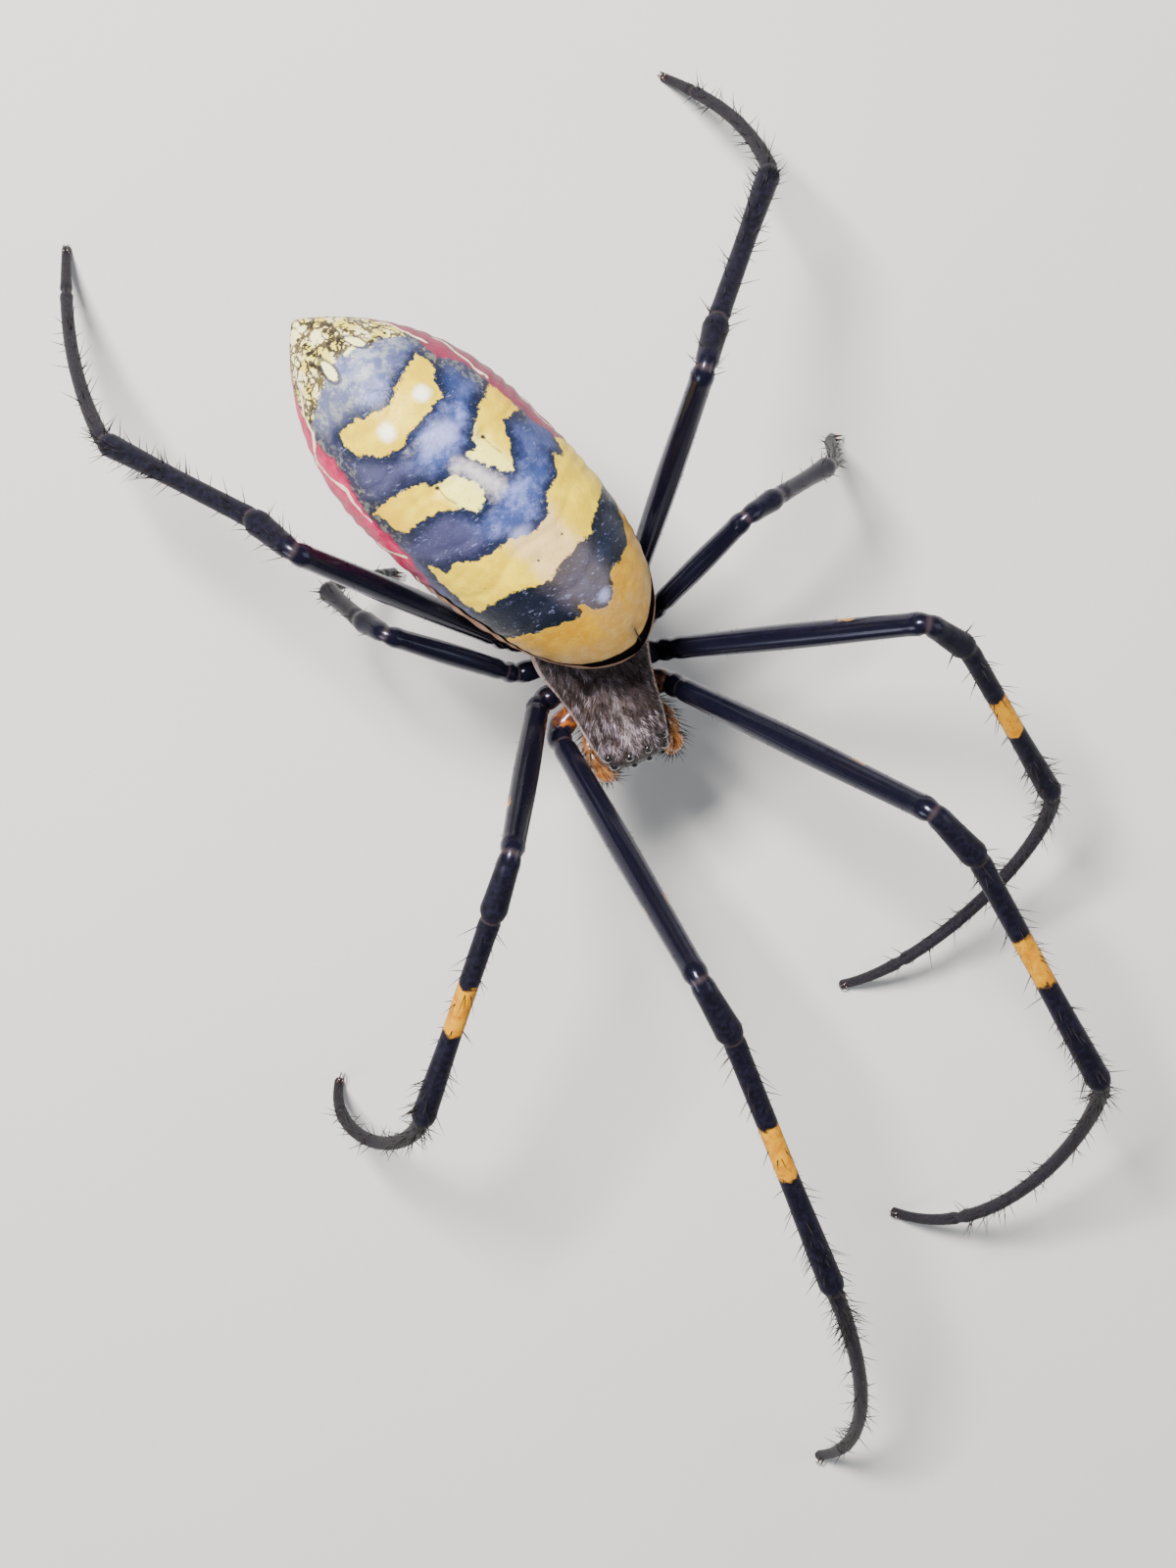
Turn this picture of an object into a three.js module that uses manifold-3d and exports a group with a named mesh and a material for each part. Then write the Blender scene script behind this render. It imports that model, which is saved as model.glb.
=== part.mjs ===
// A life-size golden silk orb weaver, standing on its eight feet as a still model.
// Millimetres. +Z is up, the head looks towards -Y and the spider's left side is +X.

import * as THREE from 'three';
import { mergeVertices } from 'three/addons/utils/BufferGeometryUtils.js';
import Module from 'manifold-3d';

const wasm = await Module();
wasm.setup();

// Driving sizes of the body
const GAP = 0.25;
const BODY_HEIGHT = 10.15;
const BODY_PITCH = 13;
const BODY_ASIDE = 0.15;
const CARAPACE_LENGTH = 6.6;
const CARAPACE_EDGE = 0.4;
const CORE_HALF_WIDTH = 0.72;
const CORE_DEPTH = 1.35;
const HIP_DROP = 1.1;
const ABDOMEN_LENGTH = 15.2;
const ABDOMEN_WIDTH = 6.44;
const ABDOMEN_WIDEST = 0.55;
const FRONT_CURVE = 2.6;
const TAIL_CURVE = 2.35;
const TAIL_ROUND = 0.9;
const ABDOMEN_TOP = 3.2;
const ABDOMEN_BELLY = 2.85;
const ABDOMEN_CENTRE = new THREE.Vector3(-1.38, 7.68, 14.75);
const ABDOMEN_SWING = 22;
const ABDOMEN_RISE = 8;
const EYE_RADIUS = 0.15;
const SOCKET_RADIUS = 0.24;
const STERNUM_THICKNESS = 0.5;
const LEG_SIDES = 12;
const JOINT_REACH = 0.68;
const FOOT_BOW = 0.36;
const WAIST_DROP = 0.08;
const WAIST_BEND = 0.75;

// How finely the rounded pieces are divided
const CARAPACE_RINGS = 22;
const CARAPACE_SIDES = 28;
const CORE_SIDES = 16;
const STERNUM_RINGS = 12;
const STERNUM_SIDES = 20;
const ABDOMEN_RINGS = 30;
const ABDOMEN_SIDES = 36;
const FOOT_RINGS = 14;
const FEELER_RINGS = 18;
const FEELER_SIDES = 10;
const SMALL_SIDES = 8;
const SMALL_RINGS = 6;

// How far ahead of the carapace's middle, half width and height of the carapace there
const CARAPACE_STATIONS = [
  [3.3, 0.9, 0.55],
  [3.0, 1.14, 1.0],
  [2.2, 1.32, 1.42],
  [1.0, 1.46, 1.5],
  [0.2, 1.62, 1.25],
  [-1.0, 1.9, 0.95],
  [-2.2, 1.75, 0.75],
  [-3.0, 1.15, 0.5],
  [-3.3, 0.6, 0.3],
];
const STERNUM_STATIONS = [
  [1.7, 0.55],
  [1.2, 1.05],
  [0.5, 1.3],
  [-0.6, 1.1],
  [-1.7, 0.35],
];

// The block under the carapace that the hips meet: how far ahead, and its size there
const CORE_STATIONS = [
  [1.48, 0.95],
  [1.2, 1],
  [0, 1],
  [-1.6, 1],
  [-2.3, 0.6],
];

// Two rows of eyes, the side ones on low humps: [left, ahead]
const EYES = {
  front_middle: [0.27, 3.2],
  back_middle: [0.33, 2.72],
  front_side: [0.9, 3.02],
  back_side: [0.98, 2.62],
};

// Jaws, fangs and feelers: [left, ahead, up] along each, and half thicknesses
const JAW_TOP = [0.52, 2.62];
const JAW_END = [0.5, 2.95, -2.75];
const JAW_GIRTH = [0.36, 0.4, 0.4, 0.31];
const FANG_PATH = [[0.56, 2.98, -3.0], [0.55, 2.85, -3.6], [0.2, 2.5, -3.65]];
const FANG_GIRTH = [0.2, 0.16, 0.05];
const FEELER_PATH = [
  [0.52, 1.73, -0.9],
  [0.84, 1.93, -1.12],
  [1.14, 2.2, -1.25],
  [1.36, 2.65, -1.12],
  [1.42, 3.1, -0.95],
  [1.34, 3.75, -1.0],
  [1.12, 4.15, -1.5],
  [1.0, 4.3, -2.3],
];
const FEELER_GIRTH = [0.18, 0.2, 0.24, 0.29, 0.27, 0.27, 0.12];

// The spinning tubes on their mound: [left, back, half thickness, length]
const SPINNERET_PLACE = 0.86;
const MOUND_GIRTH = [0.72, 0.62];
const MOUND_HEIGHT = 0.45;
const TUBE_TAPER = 0.45;
const TUBES = [
  [0.3, -0.28, 0.24, 1.15],
  [0.16, 0.02, 0.14, 0.8],
  [0.3, 0.32, 0.2, 1.0],
];

// Where the waist meets the belly, as a fraction of the abdomen's length
const WAIST_PLACE = 0.23;
const WAIST_GIRTH = [0.3, 0.36];

// Segment lengths of each pair of legs, and how thick they are beside the first pair
const LEG_SIZES = {
  1: { femur: 12.2, patella: 2.7, tibia: 11.0, girth: 1.0, hip: [2.08, 1.75], root: [0.98, 1.12] },
  2: { femur: 10.4, patella: 2.55, tibia: 8.7, girth: 0.95, hip: [2.2, 0.55], root: [0.98, 0.34] },
  3: { femur: 5.7, patella: 1.75, tibia: 4.0, girth: 0.82, hip: [2.5, -0.75], root: [0.98, -0.46] },
  4: { femur: 10.8, patella: 2.3, tibia: 7.5, girth: 0.92, hip: [2.3, -2.0], root: [0.98, -1.26] },
};

// Half thickness along each segment of the first legs
const GIRTH = {
  coxa: [0.31, 0.44],
  femur: [0.38, 0.46, 0.4],
  patella: [0.38, 0.45],
  tibia: [0.36, 0.36, 0.43],
  foot: [0.29, 0.27, 0.25, 0.2],
};
const THINNEST = 0.25;
const BOXY = 2.6;

// The stance. Each direction is [degrees outward from straight ahead, degrees upward], and
// foot is how far outward and ahead of the body's middle the leg comes down.
const STANCE = {
  right_1: {
    femur: [-7, 52], patella: [-5, -24], tibia: [2, -20],
    shin: [1, -34], toe: [46, -68], foot: [4.3, 32.1],
  },
  left_1: {
    femur: [44, 49], patella: [20, -27], tibia: [7, -24],
    shin: [-4, -59], toe: [-118, -55], foot: [2.0, 24.6],
  },
  right_2: {
    femur: [47, 70], patella: [39, -24], tibia: [40, -26],
    shin: [39, -59], toe: [-130, -80], foot: [14.6, 11.3],
  },
  left_2: {
    femur: [77, 39], patella: [33, -41], tibia: [11, -37],
    shin: [-7, -57], toe: [-84, -55], foot: [3.7, 15.8],
  },
  right_3: {
    femur: [136, 35], patella: [136, -60], tibia: [142, -72],
    shin: [-54, -86], toe: [-45, -80], foot: [5.0, -4.9],
  },
  left_3: {
    femur: [118, 40], patella: [92, -41], tibia: [86, -55],
    shin: [58, -75], toe: [65, -78], foot: [11.3, -2.8],
  },
  right_4: {
    femur: [142, 44], patella: [149, -47], tibia: [137, -45],
    shin: [170, -56], toe: [-160, -58], foot: [10.7, -19.9],
  },
  left_4: {
    femur: [144, 46], patella: [134, -49], tibia: [130, -46],
    shin: [165, -64], toe: [-148, -67], foot: [10.9, -16.8],
  },
};

// Colours
const BLACK = 0x17161c;
const GREY = 0x6b6460;
const ORANGE = 0xc8792a;
const YELLOW = 0xd8c968;

const rad = THREE.MathUtils.degToRad;

// Value at x of a smooth curve through stations, each [x, value, ...], with x falling
function along(stations, x, column) {
  const last = stations.length - 1;
  let i = 0;
  while (i < last - 1 && x < stations[i + 1][0]) {
    i += 1;
  }
  const before = stations[Math.max(i - 1, 0)][column];
  const from = stations[i][column];
  const to = stations[i + 1][column];
  const after = stations[Math.min(i + 2, last)][column];
  const span = stations[i + 1][0] - stations[i][0];
  const t = THREE.MathUtils.clamp((x - stations[i][0]) / span, 0, 1);
  const curve = new THREE.CubicBezierCurve(
    new THREE.Vector2(0, from),
    new THREE.Vector2(1 / 3, from + (to - before) / 6),
    new THREE.Vector2(2 / 3, to - (after - from) / 6),
    new THREE.Vector2(1, to),
  );
  return curve.getPoint(t).y;
}

// Value a fraction t along a short list of evenly spread values
function spread(values, t) {
  const place = THREE.MathUtils.clamp(t, 0, 1) * (values.length - 1);
  const i = Math.min(Math.floor(place), values.length - 2);
  const blend = THREE.MathUtils.smoothstep(place - i, 0, 1);
  return THREE.MathUtils.lerp(values[i], values[i + 1], blend);
}

// A closed skin over rings of points, each end filled from its middle
function skin(rings) {
  const sides = rings[0].length;
  const points = rings.flat();
  const middle = (ring) => {
    const sum = new THREE.Vector3();
    ring.forEach((p) => sum.add(p));
    return sum.divideScalar(sides);
  };
  const start = points.push(middle(rings[0])) - 1;
  const end = points.push(middle(rings[rings.length - 1])) - 1;
  const faces = [];
  for (let j = 0; j < sides; j += 1) {
    const k = (j + 1) % sides;
    faces.push(start, k, j);
    const top = (rings.length - 1) * sides;
    faces.push(end, top + j, top + k);
    for (let i = 0; i < rings.length - 1; i += 1) {
      const a = i * sides;
      const b = a + sides;
      faces.push(a + j, a + k, b + k);
      faces.push(a + j, b + k, b + j);
    }
  }
  const geometry = new THREE.BufferGeometry();
  const positions = points.flatMap((p) => [p.x, p.y, p.z]);
  geometry.setAttribute('position', new THREE.Float32BufferAttribute(positions, 3));
  geometry.setIndex(faces);
  geometry.computeVertexNormals();
  return geometry;
}

// A ring in the plane across Y, rounded, with its own half width, height and depth
function oval(y, halfWidth, top, bottom, sides, power = 2) {
  const ring = [];
  for (let j = 0; j < sides; j += 1) {
    const a = (-2 * Math.PI * j) / sides;
    const c = Math.cos(a);
    const s = Math.sin(a);
    const x = Math.sign(c) * Math.abs(c) ** (2 / power);
    const z = Math.sign(s) * Math.abs(s) ** (2 / power);
    ring.push(new THREE.Vector3(x * halfWidth, y, z * (z > 0 ? top : bottom)));
  }
  return ring;
}

function solid(geometry) {
  const bare = geometry.clone();
  bare.deleteAttribute('normal');
  bare.deleteAttribute('uv');
  const merged = mergeVertices(bare);
  return new wasm.Manifold(new wasm.Mesh({
    numProp: 3,
    vertProperties: new Float32Array(merged.attributes.position.array),
    triVerts: new Uint32Array(merged.index.array),
  }));
}

function fromSolid(shape) {
  const mesh = shape.getMesh();
  const geometry = new THREE.BufferGeometry();
  geometry.setAttribute('position', new THREE.Float32BufferAttribute(mesh.vertProperties, 3));
  geometry.setIndex(Array.from(mesh.triVerts));
  geometry.computeVertexNormals();
  return geometry;
}

function piece(parent, name, geometry, color, roughness = 0.4) {
  const material = new THREE.MeshStandardMaterial({ color, roughness, metalness: 0 });
  const mesh = new THREE.Mesh(geometry, material);
  mesh.name = name;
  parent.add(mesh);
}

// A unit direction on one side of the body, from degrees outward and degrees upward
function heading(side, [outward, upward]) {
  const flat = Math.cos(rad(upward));
  return new THREE.Vector3(
    side * Math.sin(rad(outward)) * flat,
    -Math.cos(rad(outward)) * flat,
    Math.sin(rad(upward)),
  );
}

// A limb along a path, its ends cut on the planes that it shares with its neighbours
function limb(path, radiusAt, cuts, sides = LEG_SIDES) {
  const last = path.length - 1;
  let across = new THREE.Vector3(0, 0, 1);
  const rings = path.map((centre, i) => {
    const ahead = new THREE.Vector3();
    ahead.subVectors(path[Math.min(i + 1, last)], path[Math.max(i - 1, 0)]).normalize();
    across = across.clone().addScaledVector(ahead, -across.dot(ahead));
    if (across.length() < 0.2) {
      across.set(1, 0, 0).addScaledVector(ahead, -ahead.x);
    }
    across.normalize();
    const beside = new THREE.Vector3().crossVectors(ahead, across);
    const radius = radiusAt(i / last);
    const ring = [];
    for (let j = 0; j < sides; j += 1) {
      const a = (2 * Math.PI * j) / sides;
      const p = centre.clone();
      p.addScaledVector(across, Math.cos(a) * radius);
      p.addScaledVector(beside, Math.sin(a) * radius);
      const cut = i === 0 ? cuts[0] : i === last ? cuts[1] : null;
      if (cut) {
        const slide = cut.point.clone().sub(p).dot(cut.normal) / ahead.dot(cut.normal);
        p.addScaledVector(ahead, slide);
      }
      ring.push(p);
    }
    return ring;
  });
  return skin(rings);
}

// The plane where two pieces meet at a joint, moved back by half the gap for the one
// that comes before it or after it
function mitre(point, before, after, step) {
  const normal = before.clone().add(after).normalize();
  return { point: point.clone().addScaledVector(normal, (step * GAP) / 2), normal };
}

// Points from one joint to the next, the inner ones kept clear of the mitred ends
function stretch(from, to, reach, count) {
  const length = from.distanceTo(to);
  const inner = Math.min(reach / length, 0.4);
  const points = [from.clone()];
  for (let i = 0; i < count; i += 1) {
    const t = THREE.MathUtils.lerp(inner, 1 - inner, i / (count - 1));
    points.push(from.clone().lerp(to, t));
  }
  points.push(to.clone());
  return points;
}

// The front part of the body
const prosoma = new THREE.Group();
prosoma.position.set(BODY_ASIDE, 0, BODY_HEIGHT);
prosoma.rotation.x = rad(BODY_PITCH);
prosoma.updateMatrixWorld();

// A place on the front part: to the left, ahead of its middle and up
function bodyPoint(left, ahead, up) {
  return new THREE.Vector3(left, -ahead, up).applyMatrix4(prosoma.matrixWorld);
}

// Height of the carapace's back over a place
function backHeight(left, ahead) {
  const halfWidth = along(CARAPACE_STATIONS, ahead, 1);
  const top = along(CARAPACE_STATIONS, ahead, 2);
  return top * Math.sqrt(Math.max(1 - (left / halfWidth) ** 2, 0));
}

function eyePlace(name, side) {
  const [left, ahead] = EYES[name];
  return new THREE.Vector3(side * left, -ahead, backHeight(left, ahead));
}

function ball(centre, radius, width = 12, height = 8) {
  const geometry = new THREE.SphereGeometry(radius, width, height);
  return geometry.translate(centre.x, centre.y, centre.z);
}

const SIDES = { left: 1, right: -1 };

function carapace() {
  const half = CARAPACE_LENGTH / 2;
  const rings = [];
  for (let i = 0; i <= CARAPACE_RINGS; i += 1) {
    const ahead = -half * Math.cos((Math.PI * i) / CARAPACE_RINGS);
    const halfWidth = along(CARAPACE_STATIONS, ahead, 1);
    const top = along(CARAPACE_STATIONS, ahead, 2);
    rings.push(oval(-ahead, halfWidth, top, CARAPACE_EDGE, CARAPACE_SIDES));
  }
  let shell = solid(skin(rings.reverse()));
  const core = CORE_STATIONS.map(([ahead, size]) => {
    const halfWidth = CORE_HALF_WIDTH * size;
    return oval(-ahead, halfWidth, CARAPACE_EDGE / 2, CORE_DEPTH * size, CORE_SIDES, BOXY);
  });
  shell = shell.add(solid(skin(core)));
  for (const side of Object.values(SIDES)) {
    for (const name of Object.keys(EYES)) {
      shell = shell.subtract(solid(ball(eyePlace(name, side), SOCKET_RADIUS, 10, 7)));
    }
  }
  piece(prosoma, 'carapace', fromSolid(shell), GREY, 0.8);
}

function eyes() {
  for (const [word, side] of Object.entries(SIDES)) {
    for (const name of Object.keys(EYES)) {
      piece(prosoma, `eye_${word}_${name}`, ball(eyePlace(name, side), EYE_RADIUS), BLACK, 0.1);
    }
  }
}

function sternum() {
  const half = STERNUM_THICKNESS / 2;
  const front = STERNUM_STATIONS[0][0];
  const rings = [];
  for (let i = 0; i <= STERNUM_RINGS; i += 1) {
    const ahead = front * (1 - (2 * i) / STERNUM_RINGS);
    const halfWidth = along(STERNUM_STATIONS, ahead, 1);
    const ring = oval(-ahead, halfWidth, half, half, STERNUM_SIDES, BOXY);
    ring.forEach((p) => {
      p.z -= CORE_DEPTH + GAP + half;
    });
    rings.push(ring);
  }
  piece(prosoma, 'sternum', skin(rings), BLACK);
}

// Jaws, fangs and feelers hang under the front of the head
function mouthparts() {
  const level = new THREE.Vector3(0, 0, 1);
  const back = new THREE.Vector3(0, 1, 0);
  for (const [word, side] of Object.entries(SIDES)) {
    const at = ([left, ahead, up]) => new THREE.Vector3(side * left, -ahead, up);
    const jawTop = at([...JAW_TOP, -CARAPACE_EDGE - GAP]);
    const jawEnd = at(JAW_END);
    const jawCuts = [{ point: jawTop, normal: level }, { point: jawEnd, normal: level }];
    const jaw = limb(stretch(jawTop, jawEnd, 0.3, 5), (t) => spread(JAW_GIRTH, t), jawCuts);
    piece(prosoma, `chelicera_${word}`, jaw, BLACK);

    const fangPath = new THREE.QuadraticBezierCurve3(...FANG_PATH.map(at)).getPoints(SMALL_RINGS);
    const fangCuts = [{ point: fangPath[0], normal: level }, null];
    const fang = limb(fangPath, (t) => spread(FANG_GIRTH, t), fangCuts, SMALL_SIDES);
    piece(prosoma, `fang_${word}`, fang, BLACK, 0.2);

    const feelerPath = new THREE.CatmullRomCurve3(FEELER_PATH.map(at)).getPoints(FEELER_RINGS);
    const feelerCuts = [{ point: feelerPath[0], normal: back }, null];
    const feeler = limb(feelerPath, (t) => spread(FEELER_GIRTH, t), feelerCuts, FEELER_SIDES);
    piece(prosoma, `pedipalp_${word}`, feeler, ORANGE);
  }
}

// The abdomen's own axes: its length runs along Y to the tail
const opisthosoma = new THREE.Group();
opisthosoma.position.copy(ABDOMEN_CENTRE);
opisthosoma.rotation.set(rad(ABDOMEN_RISE), 0, rad(ABDOMEN_SWING), 'ZYX');
opisthosoma.updateMatrixWorld();

// How full the abdomen is a fraction t along it: a round front and a tapering tail
function fullness(t) {
  if (t < ABDOMEN_WIDEST) {
    return Math.sqrt(1 - (1 - t / ABDOMEN_WIDEST) ** FRONT_CURVE);
  }
  return (1 - ((t - ABDOMEN_WIDEST) / (1 - ABDOMEN_WIDEST)) ** TAIL_CURVE) ** TAIL_ROUND;
}

// A place on the middle line of the belly
function bellyPoint(t) {
  return new THREE.Vector3(0, (t - 0.5) * ABDOMEN_LENGTH, -ABDOMEN_BELLY * fullness(t));
}

// The way out of the belly there
function bellyWay(t) {
  const step = 0.01;
  const run = bellyPoint(t + step).sub(bellyPoint(t - step));
  return new THREE.Vector3(0, run.z, -run.y).normalize();
}

function abdomen() {
  const rings = [];
  for (let i = 0; i <= ABDOMEN_RINGS; i += 1) {
    const t = 0.5 - 0.496 * Math.cos((Math.PI * i) / ABDOMEN_RINGS);
    const size = fullness(t);
    const y = (t - 0.5) * ABDOMEN_LENGTH;
    const halfWidth = (ABDOMEN_WIDTH / 2) * size;
    rings.push(oval(y, halfWidth, ABDOMEN_TOP * size, ABDOMEN_BELLY * size, ABDOMEN_SIDES));
  }
  piece(opisthosoma, 'abdomen', skin(rings), YELLOW, 0.5);
}

// Three pairs of short tubes on one mound under the tail
function spinnerets() {
  const out = bellyWay(SPINNERET_PLACE);
  const root = bellyPoint(SPINNERET_PLACE).addScaledVector(out, GAP);
  const mound = stretch(root, root.clone().addScaledVector(out, MOUND_HEIGHT), 0.1, 3);
  let shape = solid(limb(mound, (t) => spread(MOUND_GIRTH, t), [{ point: root, normal: out }, null]));
  for (const side of Object.values(SIDES)) {
    for (const [left, back, radius, length] of TUBES) {
      const from = root.clone().add(new THREE.Vector3(side * left, back, -MOUND_HEIGHT / 2));
      const to = from.clone().addScaledVector(out, length);
      const girth = (t) => THREE.MathUtils.lerp(radius, radius * TUBE_TAPER, t);
      const path = stretch(from, to, 0.2, 3);
      shape = shape.add(solid(limb(path, girth, [null, null], SMALL_SIDES)));
    }
  }
  piece(opisthosoma, 'spinnerets', fromSolid(shape), BLACK);
}

// The waist, from the back of the carapace up to the belly
function pedicel(parent) {
  const from = bodyPoint(0, -CARAPACE_LENGTH / 2 - GAP, -WAIST_DROP);
  const out = bellyWay(WAIST_PLACE);
  const to = bellyPoint(WAIST_PLACE).addScaledVector(out, GAP);
  to.applyMatrix4(opisthosoma.matrixWorld);
  const back = new THREE.Vector3(0, 1, 0);
  const slope = out.transformDirection(opisthosoma.matrixWorld).negate();
  const bend = from.clone().addScaledVector(back, WAIST_BEND);
  const path = new THREE.QuadraticBezierCurve3(from, bend, to).getPoints(SMALL_RINGS);
  const cuts = [{ point: from, normal: back }, { point: to, normal: slope }];
  piece(parent, 'pedicel', limb(path, (t) => spread(WAIST_GIRTH, t), cuts), BLACK);
}

function leg(parent, word, number) {
  const side = SIDES[word];
  const sizes = LEG_SIZES[number];
  const stance = STANCE[`${word}_${number}`];
  const root = bodyPoint(side * sizes.root[0], sizes.root[1], -HIP_DROP);
  const hip = bodyPoint(side * sizes.hip[0] - BODY_ASIDE, sizes.hip[1], -HIP_DROP);
  const ways = [
    hip.clone().sub(root).normalize(),
    heading(side, stance.femur),
    heading(side, stance.patella),
    heading(side, stance.tibia),
    heading(side, stance.shin),
  ];
  const knee = hip.clone().addScaledVector(ways[1], sizes.femur);
  const shank = knee.clone().addScaledVector(ways[2], sizes.patella);
  const ankle = shank.clone().addScaledVector(ways[3], sizes.tibia);
  const joints = [root, hip, knee, shank, ankle];
  const colours = [ORANGE, BLACK, BLACK, BLACK];
  const reach = JOINT_REACH * sizes.girth;
  ['coxa', 'femur', 'patella', 'tibia'].forEach((part, i) => {
    const start = i === 0
      ? { point: root, normal: new THREE.Vector3(side, 0, 0) }
      : mitre(joints[i], ways[i - 1], ways[i], 1);
    const end = mitre(joints[i + 1], ways[i], ways[i + 1], -1);
    const girth = (t) => Math.max(spread(GIRTH[part], t) * sizes.girth, THINNEST);
    const shape = limb(stretch(joints[i], joints[i + 1], reach, 5), girth, [start, end]);
    piece(parent, `leg_${word}_${number}_${part}`, shape, colours[i], 0.25);
  });

  const foot = new THREE.Vector3(side * stance.foot[0], -stance.foot[1], 0);
  const bow = FOOT_BOW * ankle.distanceTo(foot);
  const path = new THREE.CubicBezierCurve3(
    ankle,
    ankle.clone().addScaledVector(ways[4], bow),
    foot.clone().addScaledVector(heading(side, stance.toe), -bow),
    foot,
  ).getPoints(FOOT_RINGS);
  const level = { point: foot, normal: new THREE.Vector3(0, 0, 1) };
  const cuts = [mitre(ankle, ways[3], ways[4], 1), level];
  const shape = limb(path, (t) => spread(GIRTH.foot, t) * sizes.girth, cuts);
  piece(parent, `leg_${word}_${number}_metatarsus`, shape, BLACK, 0.6);
}

const spider = new THREE.Group();
spider.add(prosoma, opisthosoma);
carapace();
eyes();
sternum();
mouthparts();
abdomen();
spinnerets();
pedicel(spider);
for (const word of Object.keys(SIDES)) {
  for (const number of Object.keys(LEG_SIZES)) {
    leg(spider, word, number);
  }
}

// Centre the whole on the origin, feet on the floor
const bounds = new THREE.Box3().setFromObject(spider, true);
const middle = bounds.getCenter(new THREE.Vector3());
spider.position.set(-middle.x, -middle.y, -bounds.min.z);

const group = new THREE.Group();
group.add(spider);
export default group;
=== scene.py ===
import math

import bpy
import numpy as np
from bpy.props import FloatProperty, FloatVectorProperty, IntProperty, PointerProperty
from mathutils import Matrix, Vector


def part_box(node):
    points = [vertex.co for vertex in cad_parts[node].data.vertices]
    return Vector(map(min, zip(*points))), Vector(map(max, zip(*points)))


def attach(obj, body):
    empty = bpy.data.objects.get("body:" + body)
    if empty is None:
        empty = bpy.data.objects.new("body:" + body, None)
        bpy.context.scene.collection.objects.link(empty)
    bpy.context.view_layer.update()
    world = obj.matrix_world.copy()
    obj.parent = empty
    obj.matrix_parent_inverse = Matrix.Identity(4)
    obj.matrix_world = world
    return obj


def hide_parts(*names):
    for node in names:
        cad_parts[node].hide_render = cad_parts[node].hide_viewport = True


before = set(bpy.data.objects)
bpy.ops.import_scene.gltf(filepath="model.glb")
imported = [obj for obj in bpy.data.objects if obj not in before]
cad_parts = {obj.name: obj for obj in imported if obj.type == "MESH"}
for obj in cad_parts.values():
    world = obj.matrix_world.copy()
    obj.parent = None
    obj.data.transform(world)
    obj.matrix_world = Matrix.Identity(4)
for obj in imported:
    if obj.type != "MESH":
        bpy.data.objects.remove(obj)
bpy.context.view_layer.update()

bl_info = {
    "name": "Golden silk orb weaver",
    "version": (1, 0, 0),
    "blender": (4, 5, 0),
    "location": "3D View > Sidebar > Weaver",
    "description": "Dresses the solids of a life-size orb weaver: skins, markings, eyes, bristles and down",
    "category": "Object",
}

MM = 0.001
SIDES = {"left": 1, "right": -1}

# Body sizes in millimetres, the same as the solids'
BODY_HEIGHT = 10.15
BODY_PITCH = math.radians(13)
BODY_ASIDE = 0.15
CARAPACE_HALF = 3.3
CARAPACE_EDGE = 0.4
STERNUM_DROP = 1.85
HIP_DROP = 1.1
ABDOMEN_LENGTH = 15.2
ABDOMEN_WIDTH = 6.44
ABDOMEN_WIDEST = 0.55
FRONT_CURVE = 2.6
TAIL_CURVE = 2.35
TAIL_ROUND = 0.9
ABDOMEN_TOP = 3.2
ABDOMEN_BELLY = 2.85
ABDOMEN_CENTRE = Vector((-1.38, 7.68, 14.75))
ABDOMEN_SWING = math.radians(22)
ABDOMEN_RISE = math.radians(8)

# How far ahead of the carapace's middle, half width and height of the carapace there
CARAPACE_STATIONS = [
    (3.3, 0.9, 0.55),
    (3.0, 1.14, 1.0),
    (2.2, 1.32, 1.42),
    (1.0, 1.46, 1.5),
    (0.2, 1.62, 1.25),
    (-1.0, 1.9, 0.95),
    (-2.2, 1.75, 0.75),
    (-3.0, 1.15, 0.5),
    (-3.3, 0.6, 0.3),
]
STERNUM_STATIONS = [
    (1.7, 0.55),
    (1.2, 1.05),
    (0.5, 1.3),
    (-0.6, 1.1),
    (-1.7, 0.35),
]
EYES = {
    "front_middle": (0.27, 3.2),
    "back_middle": (0.33, 2.72),
    "front_side": (0.9, 3.02),
    "back_side": (0.98, 2.62),
}

LEG_SIZES = {
    1: dict(femur=12.2, patella=2.7, tibia=11.0, girth=1.0, hip=(2.08, 1.75), root=(0.98, 1.12)),
    2: dict(femur=10.4, patella=2.55, tibia=8.7, girth=0.95, hip=(2.2, 0.55), root=(0.98, 0.34)),
    3: dict(femur=5.7, patella=1.75, tibia=4.0, girth=0.82, hip=(2.5, -0.75), root=(0.98, -0.46)),
    4: dict(femur=10.8, patella=2.3, tibia=7.5, girth=0.92, hip=(2.3, -2.0), root=(0.98, -1.26)),
}
TARSUS_START = 0.78
TROCHANTER = 0.62
FOOT_BOW = 0.36
THINNEST = 0.16
BAND_PLACE = 0.43
BAND_HALF = 0.085
BAND_GROWTH = {1: 1.2, 2: 1.35}
PATCH_PLACE = 0.73
PATCH_HALF = 0.38
NOWHERE = -9.0
SHIN_SPAN = (0.5, 0.66)
HAIR_SHARE = {1: 1.0, 2: 0.85, 3: 0.4, 4: 0.75}
WARM_HIPS = {1: 0.62, 2: 0.36, 3: 0.3, 4: 0.36}
HAIR_STEP = 0.17
FEELER_STEPS = 90
FEELER_BRISTLES = 260
# The patch of each hair in the baking map
HAIR_PATCH = 0.003

# Spinnerets sit at this fraction of the abdomen's length. Each tube is (aside, behind,
# radius, length).
SPINNERET_PLACE = 0.86
MOUND_HEIGHT = 0.7
TUBES = ((0.3, -0.28, 0.25, 1.15), (0.16, 0.02, 0.15, 0.8), (0.3, 0.32, 0.21, 1.0))
WAIST_PLACE = 0.23

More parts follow.
